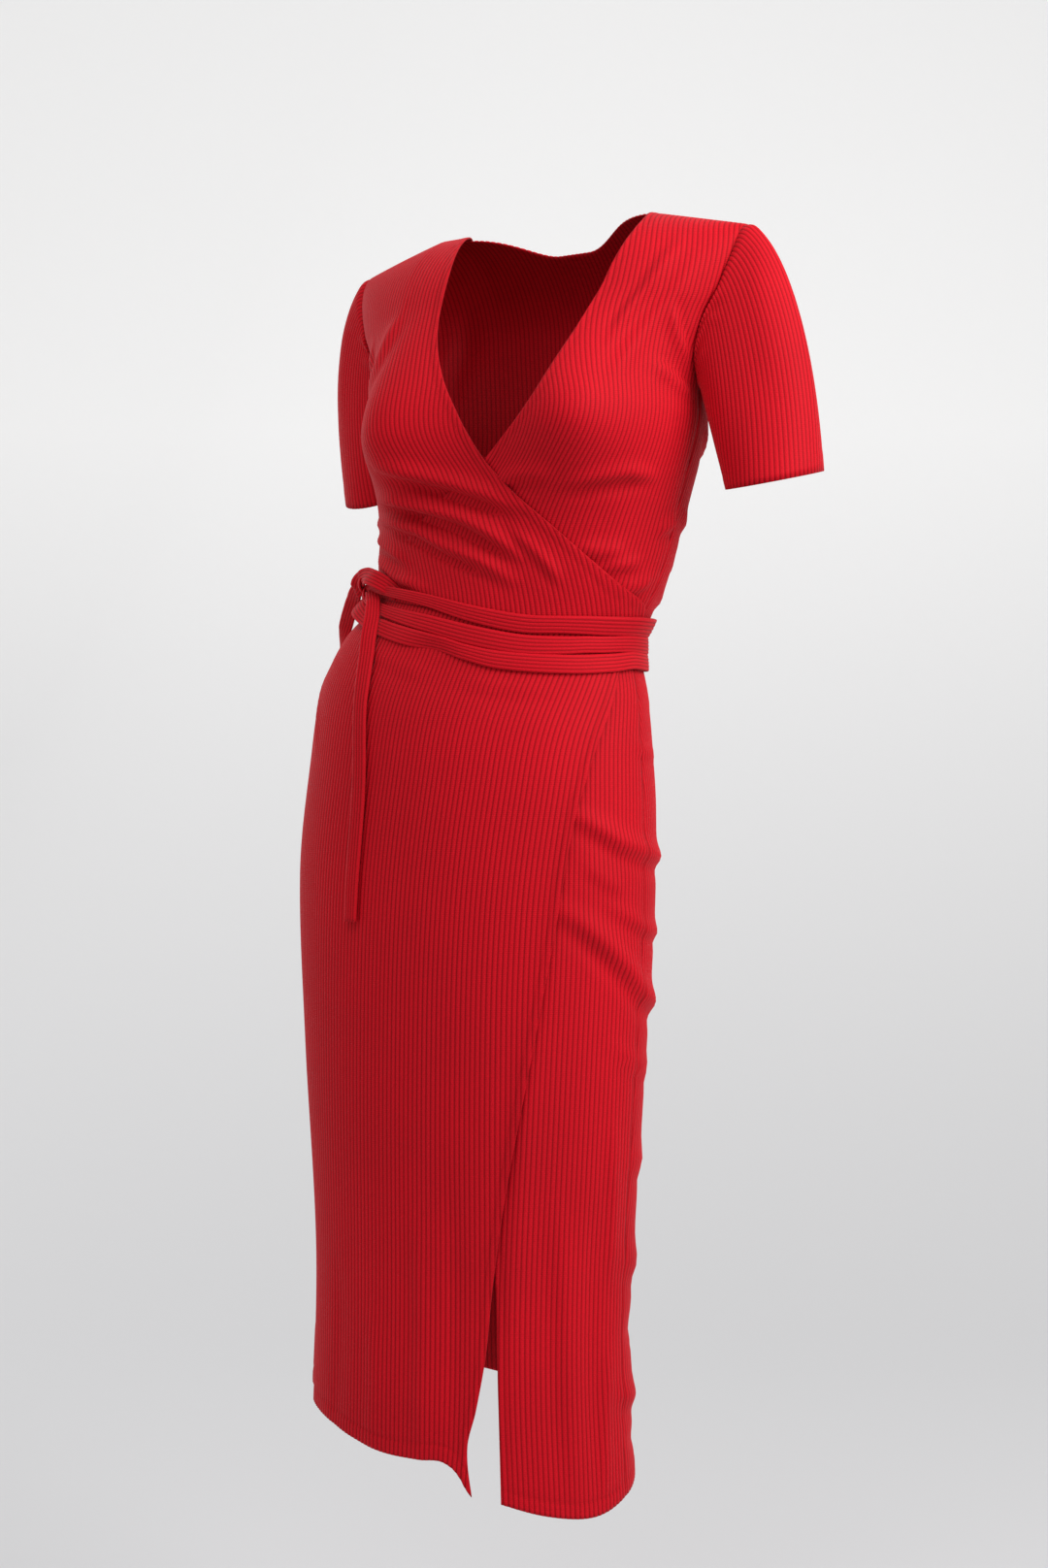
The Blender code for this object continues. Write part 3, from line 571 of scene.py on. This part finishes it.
def close_up(wanted, low, high):
    """Number the points of a grid, those at or beyond an edge of their row closed up into one."""
    numbers = np.arange(wanted.size).reshape(wanted.shape)
    for row, places, first, last in zip(numbers, wanted, low, high):
        before = np.flatnonzero(places <= first)
        after = np.flatnonzero(places >= last)
        if len(before):
            row[: before[-1]] = row[before[-1]]
        if len(after):
            row[after[0] + 1 :] = row[after[0]]
        if len(before) and len(after) and before[-1] >= after[0]:
            row[:] = row[before[-1]]
    return numbers


def panel(
    node, rows, one_rib, reach, start, end, folds, sewn, lift=None, hem=None, free=(False, False), gain=1.0
):
    """A panel of rib knit on the form, between two side edges, over its hem if it has one."""
    rows = np.array(sorted(rows))
    wanted, level = rib_grid(rows, one_rib, *reach)
    row_height = np.repeat(rows[:, None], len(level), axis=1)
    height = row_height
    angle = wanted
    for _ in range(4):
        low = start(height)
        high = np.maximum(end(height), low)
        angle = np.clip(wanted, low, high)
        if hem:
            share = np.clip((HEM_FROM - row_height) / (HEM_FROM - rows[0]), 0.0, 1.0)
            height = np.where(row_height < HEM_FROM, HEM_FROM + share * (hem(angle) - HEM_FROM), row_height)
    numbers = close_up(wanted, low, high)
    normal = outward(angle, height)
    base = bare_form(angle, height)
    base[..., 1] += sewn * SEAM
    out = fold_out(folds, angle, height, gain)
    out = out + (lift(angle, height) if lift else 0.0)
    near_low = edge_distance(angle, height, start)
    near_high = edge_distance(angle, height, end)
    edge = np.minimum(near_low, near_high)
    fade = smooth_step(0.0, FADE, edge)
    rib = np.broadcast_to(level, angle.shape) * fade + SEAM_TONE * (1.0 - fade)
    relief = RIB_DEPTH * (rib - 1.0)
    # Stitching and seams sink, and painted shade lowers the rib level along them, which darkens the knit
    # there.
    for near, is_free in ((near_low, free[0]), (near_high, free[1])):
        if is_free:
            stitch = np.exp(-(((near - EDGE_STITCH) / 0.0009) ** 2))
            relief = relief - EDGE_SINK * stitch
            relief = relief + EDGE_DOUBLE * smooth_step(EDGE_STITCH, EDGE_STITCH - 0.002, near)
            rib = rib * (1.0 - 0.30 * stitch)
        else:
            relief = relief - EDGE_SINK * np.exp(-((near / 0.0020) ** 2))
            rib = rib * (1.0 - 0.30 * np.exp(-((near / 0.0012) ** 2)))
    # The hem's stitching sinks as well, with painted shade lowering the rib level along it.
    if hem:
        above = height - hem(angle)
        stitch = np.exp(-(((above - HEM_STITCH) / 0.0014) ** 2))
        relief = relief - HEM_SINK * stitch
        relief = relief + HEM_DOUBLE * smooth_step(HEM_STITCH, HEM_STITCH - 0.003, above)
        rib = rib * (1.0 - 0.25 * stitch)
    outer = base + normal * (out + relief)[..., None]
    inner = base + normal * (out - CLOTH - 0.12 * RIB_DEPTH * (1.0 - rib))[..., None]
    finish_piece(cloth_mesh(node + "_knit", outer, inner, rib, numbers), node)


def side_limit(height, widest):
    """Degrees from the side seam to one edge of the armhole: none below the armpit."""
    height = np.asarray(height, float)
    reach = np.clip((ARMHOLE_MID - height) / (ARMHOLE_MID - ARMPIT), 0.0, 1.0)
    widest = widest + (ARMHOLE_TOP - widest) * smooth_step(TOP_BLEND, 0.0, height)
    return np.where(height <= ARMPIT, 0.0, widest * np.sqrt(1.0 - reach * reach))


def even_rows(low, high, step):
    """Heights from low to high, about this step apart."""
    return list(np.linspace(low, high, int(round((high - low) / step)) + 1))


BODICE_ROWS = sorted({*even_rows(WAIST, -0.336, 0.004), *even_rows(-0.336, -0.215, 0.0033),
                      *even_rows(-0.215, ARMPIT, 0.005), *even_rows(ARMPIT, -0.040, 0.0055),
                      *even_rows(-0.040, 0.0, 0.004)})


def lap(angle, height):
    """The right front's lift: none at its side seam and shoulder, full where it covers the left front."""
    return LAP * smooth_step(-74.0, -58.0, angle) * smooth_step(-0.020, -0.120, height)


def skirt_lap(angle, height):
    """The right skirt front's lift, with its free edge standing out and its corner curling at the hem."""
    curl = smooth_step(-1.045, -1.082, height) * smooth_step(8.0, 23.0, angle)
    from_edge = (read_curve(RIGHT_WRAP_EDGE, height) - angle) / LIP_REACH
    lip = LIP * np.exp(-(from_edge**2)) * smooth_step(WAIST - 0.030, WAIST - 0.060, height)
    return LAP * smooth_step(-74.0, -50.0, angle) + CORNER_CURL * curl + lip


panel(
    "bodice_front_right", BODICE_ROWS, RIGHT_BODICE_RIB, (-90.0, 90.0),
    lambda h: TUCK * side_limit(h, ARMHOLE_FRONT) - 90.0, lambda h: read_curve(RIGHT_NECKLINE, h),
    BODICE_RIGHT_FOLDS, -1, lift=lap, free=(False, True), gain=RIGHT_GAIN,
)
panel(
    "bodice_front_left", BODICE_ROWS, LEFT_BODICE_RIB, (-60.0, 90.0),
    lambda h: read_curve(LEFT_NECKLINE, h), lambda h: 90.0 - TUCK * side_limit(h, ARMHOLE_FRONT),
    BODICE_LEFT_FOLDS, -1, free=(True, False), gain=LEFT_GAIN,
)


def back_panel():
    """The back, whose upper rows are scooped between the neck points."""
    rows = np.array(BODICE_ROWS)
    wanted, level = rib_grid(rows, BACK_RIB, 90.0, 270.0)
    blend = np.maximum(0.0, (rows - ARMHOLE_MID) / -ARMHOLE_MID)[:, None]

    def scooped(angle):
        across = RINGS[0][3] * np.abs(np.sin(np.radians(angle)))
        return rows[:, None] - BACK_NECK_DROP * blend * smooth_step(0.096, 0.015, across)

    angle = wanted
    for _ in range(4):
        height = scooped(angle)
        low = 90.0 + TUCK * side_limit(height, ARMHOLE_BACK)
        high = 270.0 - TUCK * side_limit(height, ARMHOLE_BACK)
        angle = np.clip(wanted, low, high)
    height = scooped(angle)
    numbers = close_up(wanted, low, high)
    normal = outward(angle, height)
    base = bare_form(angle, height)
    base[..., 1] += SEAM
    edge = np.minimum(angle - low, high - angle) * EDGE_DEGREE
    fade = smooth_step(0.0, FADE, edge)
    rib = np.broadcast_to(level, angle.shape) * fade + SEAM_TONE * (1.0 - fade)
    relief = RIB_DEPTH * (rib - 1.0) - SEAM_SINK * np.exp(-((edge / 0.0022) ** 2))
    below_neck = -rows[:, None] + 0.0 * angle
    neck = smooth_step(0.100, 0.090, RINGS[0][3] * np.abs(np.sin(np.radians(angle))))
    relief = relief - EDGE_SINK * neck * np.exp(-(((below_neck - NECK_STITCH) / 0.0016) ** 2))
    out = fold_out(BACK_FOLDS, angle, height, BACK_GAIN)
    outer = base + normal * (out + relief)[..., None]
    inner = base + normal * (out - CLOTH)[..., None]
    finish_piece(cloth_mesh("bodice_back_knit", outer, inner, rib, numbers), "bodice_back")


back_panel()

SKIRT_TOP = WAIST - 0.0004
SKIRT_ROWS = sorted({*even_rows(-1.100, -1.0, 0.0036), *even_rows(-1.0, -0.700, 0.0095),
                     *even_rows(-0.700, -0.480, 0.0042), *even_rows(-0.480, SKIRT_TOP, 0.0062)})
panel(
    "skirt_front_right", SKIRT_ROWS, RIGHT_SKIRT_RIB, (-90.0, 88.0),
    lambda h: -90.0 + 0.0 * h, lambda h: read_curve(RIGHT_WRAP_EDGE, h), SKIRT_FOLDS, -1,
    lift=skirt_lap, hem=lambda a: read_curve(RIGHT_HEM, a), free=(False, True),
)
panel(
    "skirt_front_left", SKIRT_ROWS, LEFT_SKIRT_RIB, (-46.0, 90.0),
    lambda h: read_curve(LEFT_WRAP_EDGE, h), lambda h: 90.0 + 0.0 * h, SKIRT_FOLDS + SIDE_FOLDS, -1,
    hem=lambda a: read_curve(LEFT_HEM, a), free=(True, False),
)
panel(
    "skirt_back", SKIRT_ROWS, BACK_RIB, (90.0, 270.0),
    lambda h: 90.0 + 0.0 * h, lambda h: 270.0 + 0.0 * h, BACK_SKIRT_FOLDS + SIDE_FOLDS, 1,
    hem=lambda a: read_curve(BACK_HEM, a),
)


# ---------------------------------------------------------------- sleeves
# half_width, out, places (turn: 0 underarm, 0.25 front, 0.5 outside, 0.75 back; share: 0 armhole, 1 cuff)
SLEEVE_FOLDS = (
    (0.0055, 0.0030, ((0.06, 0.04), (0.14, 0.00), (0.24, 0.05), (0.30, 0.16))),
    (0.0050, 0.0022, ((0.04, 0.12), (0.13, 0.10), (0.21, 0.17), (0.26, 0.28))),
    (0.0060, 0.0016, ((0.02, 0.24), (0.10, 0.24), (0.17, 0.33))),
    (0.0120, 0.0016, ((0.40, 0.22), (0.38, 0.45), (0.37, 0.70))),
    (0.0120, 0.0014, ((0.62, 0.25), (0.66, 0.50), (0.68, 0.80))),
    (0.0060, 0.0022, ((0.95, 0.05), (0.87, 0.04), (0.79, 0.12))),
)


def armhole(side, count):
    """Evenly spaced points round an armhole: from the armpit up the front, over, and down the back."""
    heights = ARMPIT - ARMPIT * (1.0 - np.cos(np.linspace(0.0, pi, 240))) / 2
    front = on_armhole(side, heights, -1, ARMHOLE_FRONT)
    back = on_armhole(side, heights[::-1], 1, ARMHOLE_BACK)
    loop = np.concatenate([front, back[1:]])
    along = np.concatenate([[0.0], np.cumsum(np.linalg.norm(np.diff(loop, axis=0), axis=1))])
    at = np.linspace(0.0, along[-1], count)
    return np.stack([np.interp(at, along, loop[:, c]) for c in range(3)], -1)


def on_armhole(side, heights, way, widest):
    """Points on the armhole's edge at the given heights: way is -1 in front and 1 behind."""
    return bare_form(side * (90.0 + way * side_limit(heights, widest)), heights)


def make_sleeve(node, side, cuff, ribs=46, rings=46):
    """A sleeve from its cuff to its armhole, with its ribs running along it."""
    fine = 721
    loop = armhole(side, fine)
    cuff = np.array(cuff)
    centre = loop[:-1].mean(0)
    axis = unit(cuff - centre)
    outer_way = np.array((side, 0.0, CUFF_LEAN))
    outer_way = unit(outer_way - axis * outer_way.dot(axis))
    ahead = np.cross(axis, outer_way) * side
    turn = np.linspace(0.0, 2 * pi, fine)[:, None]
    rim = cuff + (ahead * np.sin(turn) - outer_way * np.cos(turn)) * CUFF_RADIUS
    tilt = CUFF_TILT * (CUFF_LEVEL - (1.0 - CUFF_LEVEL) * np.cos(turn))
    rim[:, 2] -= (CUFF_DIP * np.sin(turn) + tilt)[:, 0]
    push = np.array((side, 0.0, CAP_DROP)) * np.maximum(0.0, -np.cos(turn)) ** 1.5
    push = push + ahead * np.sin(turn) * CAP_FRONT
    shares = np.linspace(1.0, 0.0, rings)
    places = []
    level = []
    for k in range(-ribs, ribs):
        for phase, height in PHASES:
            places.append((k + phase) * RIB)
            level.append(height)
    places = np.array(places)
    level = np.array(level)
    outside = np.zeros((rings, len(places), 3))
    inside = np.zeros_like(outside)
    shown = np.zeros((rings, len(places)))
    numbers = np.arange(rings * len(places)).reshape(rings, len(places))
    for j, share in enumerate(shares):
        t = share**CUFF_EASE
        ring = loop + (rim - loop) * t + push * SLEEVE_BULGE * t**0.5 * (1.0 - t) * BULGE_GAIN
        ring[:, 0] += side * SLEEVE_CLEAR
        gaps = np.linalg.norm(np.diff(ring, axis=0), axis=1)
        along = np.concatenate([[0.0], np.cumsum(gaps)])
        top = along[fine // 2]
        at = np.clip(top + places, 0.0, along[-1])
        u = np.interp(at, along, np.linspace(0.0, 1.0, fine))
        spot = np.stack([np.interp(at, along, ring[:, c]) for c in range(3)], -1)
        steps = np.arange(fine)
        before = np.interp(np.clip(at - 0.002, 0, along[-1]), along, steps)
        after = np.interp(np.clip(at + 0.002, 0, along[-1]), along, steps)
        ahead_of, behind = (
            np.stack([np.interp(place, steps, ring[:, c]) for c in range(3)], -1) for place in (after, before)
        )
        tangent = unit(ahead_of - behind)
        middle = ring[:-1].mean(0)
        away = spot - middle
        away = unit(away - tangent * np.sum(away * tangent, -1, keepdims=True))
        seam = np.minimum(at, along[-1] - at)
        fade = smooth_step(0.0, 0.0014, seam)
        rib = level * fade + 0.5 * (1.0 - fade)
        relief = RIB_DEPTH * (rib - 1.0) - 0.0009 * np.exp(-((seam / 0.002) ** 2))
        above = (1.0 - t) * SLEEVE_REACH
        relief = relief - HEM_SINK * np.exp(-(((above - CUFF_STITCH) / 0.0014) ** 2))
        relief = relief + HEM_DOUBLE * smooth_step(CUFF_STITCH, 0.0100, above)
        puff = 0.0006 * np.exp(-(((share - 0.06) / 0.045) ** 2)) - 0.0010 * np.exp(-((share / 0.020) ** 2))
        out = sleeve_folds(u, share) + puff
        outside[j] = spot + away * (out + relief)[:, None]
        inside[j] = spot + away * (out - CLOTH)[:, None]
        shown[j] = rib
        first = np.flatnonzero(top + places <= 0.0)
        last = np.flatnonzero(top + places >= along[-1])
        if len(first):
            numbers[j, : first[-1]] = numbers[j, first[-1]]
        if len(last):
            numbers[j, last[0] :] = numbers[j, first[-1]] if len(first) else numbers[j, last[0]]
    if side < 0:
        outside, inside, shown = outside[:, ::-1], inside[:, ::-1], shown[:, ::-1]
        flipped = numbers[:, ::-1]
        columns = len(places)
        row_start = (flipped // columns) * columns
        numbers = row_start + (columns - 1 - (flipped - row_start))
    finish_piece(cloth_mesh(node + "_knit", outside, inside, shown, numbers, ring=True), node)


def sleeve_folds(u, share):
    """How far the sleeve's creases push it out, at shares of its girth and of its length."""
    total = np.zeros(u.shape)
    for half_width, out, places in SLEEVE_FOLDS:
        spots = np.array([(a * FOLD_GIRTH, b * FOLD_LENGTH) for a, b in places])
        best, ends, _ = nearest(spots, u * FOLD_GIRTH, share * FOLD_LENGTH)
        total += out * ends * np.exp(-((best / half_width) ** 2))
    return total


make_sleeve("sleeve_left", 1, CUFF_LEFT)
make_sleeve("sleeve_right", -1, CUFF_RIGHT)


# ---------------------------------------------------------------- tie
TIE_RIBS = 5
TIE_THICK = 0.0034


def strap(name, middle, side, out, width, ribs=TIE_RIBS, thick=TIE_THICK, pinch=1.0):
    """A flat sewn tube of rib knit along a line: middle, side and out are rows of points and unit vectors."""
    across = np.linspace(-0.5, 0.5, ribs * 3 + 1)
    level = np.array([0.0 if k % 3 == 0 else 1.0 for k in range(len(across))])
    level[0] = level[-1] = 0.6
    round_off = np.sqrt(np.clip(1.0 - (np.abs(across) * 1.96) ** 3, 0.0, 1.0))
    bulge = thick / 2 * (0.16 + 0.84 * round_off)
    width = np.asarray(width)[:, None, None]
    base = middle[:, None, :] + side[:, None, :] * across[None, :, None] * width
    relief = 0.00050 * (level - 1.0) * round_off
    pinch = np.full(len(middle), 1.0) * pinch
    front = base + out[:, None, :] * ((bulge + relief)[None, :] * pinch[:, None])[..., None]
    back = base - out[:, None, :] * ((bulge + relief * 0.6)[None, :] * pinch[:, None])[..., None]
    numbers = np.arange(front.shape[0] * front.shape[1]).reshape(front.shape[:2])
    rib = np.broadcast_to(level, front.shape[:2])
    flip = np.cross(side[0], middle[1] - middle[0]).dot(out[0]) < 0
    if flip:
        front, back = front[:, ::-1], back[:, ::-1]
    return cloth_mesh(name, front, back, rib, numbers)


def on_form(angle, height, lift):
    """A point this far outside the worn form."""
    return bare_form(angle, height) + outward(angle, height) * np.asarray(lift)[..., None]


def wrap(node, table, twists):
    """One turn of the tie round the waist, with the places where it twists: angle, reach and turn."""
    angle = np.linspace(table[0][0], table[-1][0], 190)
    top = read_curve(table, angle, 1)
    bottom = read_curve(table, angle, 2)
    lift = TIE_LIFT + TIE_THICK / 2 - 0.0008 + read_curve(table, angle, 3)
    upper = on_form(angle, top, lift)
    lower = on_form(angle, bottom, lift)
    middle = (upper + lower) / 2
    side = unit(upper - lower)
    out = outward(angle, (top + bottom) / 2)
    pinch = np.ones(angle.shape)
    spin = np.zeros(angle.shape)
    for place, reach, turn in twists:
        near = np.exp(-(((angle - place) / reach) ** 2))
        spin = spin + turn * near
        pinch = pinch * (1.0 - 0.25 * near)
    cosine, sine = np.cos(spin)[:, None], np.sin(spin)[:, None]
    side, out = side * cosine + out * sine, out * cosine - side * sine
    width = np.linalg.norm(upper - lower, axis=1)
    finish_piece(strap(node + "_knit", middle, side, out, width, pinch=pinch), node)


wrap("tie_wrap_upper", TIE_UPPER, ((-50.0, 16.0, 0.30), (121.0, 14.0, 0.16)))
wrap("tie_wrap_middle", TIE_MIDDLE, ((-56.0, 12.0, -0.30), (119.0, 12.0, -0.22), (165.0, 20.0, 0.3)))
wrap("tie_wrap_lower", TIE_LOWER, ((-2.0, 9.0, 0.42), (-48.0, 10.0, -0.3), (122.0, 12.0, 0.16)))


FRONT_WAY = np.array((0.42, -0.90, 0.10))  # where the free ends face as they leave the knot


def tail(node, table, samples):
    """A free end of the tie, from the knot to its tip."""
    rows = [(k, *row) for k, row in enumerate(table)]
    key = np.linspace(0.0, len(rows) - 1.0, samples)
    angle, height, lift, width, facing = (read_curve(rows, key, c) for c in range(1, 6))
    middle = on_form(angle, height, lift)
    along = unit(np.gradient(middle, axis=0))
    facing = np.clip(facing, 0.0, 1.0)[:, None]
    out = unit(outward(angle, height) * (1.0 - facing) + FRONT_WAY * facing)
    out = unit(out - along * np.sum(out * along, -1, keepdims=True))
    side = unit(np.cross(out, along))
    finish_piece(strap(node + "_knit", middle, side, out, width), node)


tail("tie_tail_front", TAIL_FRONT, 110)
tail("tie_tail_back", TAIL_BACK, 150)


def knot():
    """The knot: two short turns of the tie, one over the other, on top of the wound tie."""
    where = on_form(KNOT_ANGLE, KNOT_HEIGHT, np.array(KNOT_LIFT))
    out = outward(KNOT_ANGLE, np.array(KNOT_HEIGHT))
    ahead = unit(np.cross(out, (0.0, 0.0, -1.0)))
    up = np.array((0.0, 0.0, 1.0))
    pieces = []

    def loop(name, centre, first, second, radius_1, radius_2, width, ribs):
        turn = np.linspace(radians(-100), radians(262), 44)[:, None]
        third = unit(np.cross(first, second))
        middle = centre + first * np.cos(turn) * radius_1 + second * np.sin(turn) * radius_2
        away = unit(first * np.cos(turn) * radius_2 + second * np.sin(turn) * radius_1)
        side = np.repeat(third[None, :], len(turn), axis=0)
        pieces.append(strap(name, middle, side, away, np.full(len(turn), width), ribs=ribs, thick=0.0026))

    slant = unit(up * 0.95 + ahead * 0.25)
    loop("knot_turn", where + up * 0.0010, out, slant, 0.0066, 0.0088, 0.0110, 3)
    low = unit(up * 0.90 - ahead * 0.35)
    below = where - up * 0.0105 + ahead * 0.0020 - out * 0.0030
    loop("knot_under", below, out, low, 0.0060, 0.0078, 0.0120, 4)
    bpy.ops.object.select_all(action="DESELECT")
    for piece in pieces:
        piece.select_set(True)
    bpy.context.view_layer.objects.active = pieces[0]
    bpy.ops.object.join()
    whole = bpy.context.view_layer.objects.active
    whole.name = "tie_knot_knit"
    finish_piece(whole, "tie_knot")


knot()

# ---------------------------------------------------------------- floor, light, camera
scene = bpy.context.scene
scene.view_settings.view_transform = "Standard"
FLOOR = cad_box[0][2] - 0.330
VIEW = radians(31.0)  # the photo's view, round from the dress's front


def backdrop():
    """A pale floor that sweeps up into a backdrop behind the dress, with painted light: it is painted darker
    low down and lighter higher up, and glows faintly.
    """
    profile = [(-6.0, 0.0), (1.6, 0.0)]
    for k in range(1, 13):
        turn = pi / 2 * k / 12
        profile.append((1.6 + 1.4 * sin(turn), 1.4 - 1.4 * cos(turn)))
    profile.append((3.0, 5.0))
    away = Vector((-sin(VIEW), cos(VIEW), 0.0))
    right = Vector((cos(VIEW), sin(VIEW), 0.0))
    points = []
    for reach in (-6.0, 6.0):
        for back, up in profile:
            points.append(away * back + right * reach + Vector((0.0, 0.0, FLOOR + up)))
    count = len(profile)
    faces = [(k, k + 1, count + k + 1, count + k) for k in range(count - 1)]
    mesh = bpy.data.meshes.new("studio_floor")
    mesh.from_pydata([tuple(p) for p in points], [], faces)
    mesh.shade_smooth()
    floor = bpy.data.objects.new("studio_floor", mesh)
    scene.collection.objects.link(floor)
    paper = bpy.data.materials.new("pale_paper")
    paper.use_nodes = True
    shader = paper.node_tree.nodes["Principled BSDF"]
    tree = paper.node_tree
    place = tree.nodes.new("ShaderNodeNewGeometry")
    parts = tree.nodes.new("ShaderNodeSeparateXYZ")
    rise = tree.nodes.new("ShaderNodeMapRange")
    rise.inputs["From Min"].default_value = -1.45
    rise.inputs["From Max"].default_value = 0.30
    # Painted light: the paper is painted darker towards the floor and lighter up the backdrop.
    painted_light_ramp = tree.nodes.new("ShaderNodeValToRGB")
    painted_light_ramp.color_ramp.elements[0].color = (0.50, 0.50, 0.510, 1.0)
    painted_light_ramp.color_ramp.elements[1].color = (0.90, 0.90, 0.895, 1.0)
    tree.links.new(place.outputs["Position"], parts.inputs["Vector"])
    tree.links.new(parts.outputs["Z"], rise.inputs["Value"])
    tree.links.new(rise.outputs["Result"], painted_light_ramp.inputs["Fac"])
    tree.links.new(painted_light_ramp.outputs["Color"], shader.inputs["Base Color"])
    # Painted light: a faint glow brightens the paper, which is no lamp.
    shader.inputs["Emission Color"].default_value = (1.0, 1.0, 1.0, 1.0)
    shader.inputs["Emission Strength"].default_value = 0.21
    shader.inputs["Roughness"].default_value = 0.9
    shader.inputs["Specular IOR Level"].default_value = 0.1
    mesh.materials.append(paper)


backdrop()


def softbox(name, azimuth, elevation, distance, size, power, aim=-0.50):
    """A panel of light that faces the dress at a height: angles in degrees, power in watts."""
    lamp = bpy.data.lights.new(name, "AREA")
    lamp.shape = "RECTANGLE"
    lamp.size = size[0]
    lamp.size_y = size[1]
    lamp.energy = power
    holder = bpy.data.objects.new(name, lamp)
    a = radians(azimuth)
    e = radians(elevation)
    target = Vector((-0.02, 0.0, aim))
    way = Vector((sin(a) * cos(e), -cos(a) * cos(e), sin(e)))
    holder.location = target + way * distance
    holder.rotation_euler = (-way).to_track_quat("-Z", "Y").to_euler()
    scene.collection.objects.link(holder)


softbox("key_right", 84.0, 27.0, 1.9, (1.2, 1.2), 35.0, aim=-0.28)
softbox("overhead_front", 8.0, 52.0, 1.9, (1.2, 1.0), 11.0, aim=-0.25)
softbox("rim_left", -105.0, 18.0, 2.8, (1.0, 2.2), 8.0)
world = bpy.data.worlds.new("studio")
scene.world = world
world.use_nodes = True
world.node_tree.nodes["Background"].inputs["Color"].default_value = (1.0, 1.0, 1.0, 1.0)
world.node_tree.nodes["Background"].inputs["Strength"].default_value = 0.54

eye = bpy.data.cameras.new("photo_view")
eye.lens = 50.0
eye.sensor_width = 36.0
eye.sensor_fit = "AUTO"
camera = bpy.data.objects.new("photo_view", eye)
scene.collection.objects.link(camera)
toward = Vector((sin(VIEW), -cos(VIEW), 0.0))
rightward = Vector((cos(VIEW), sin(VIEW), 0.0))
camera.location = toward * 1.95 - rightward * 0.0191 + Vector((0.0, 0.0, -0.50))
camera.rotation_euler = (radians(90.0), 0.0, VIEW)
scene.camera = camera
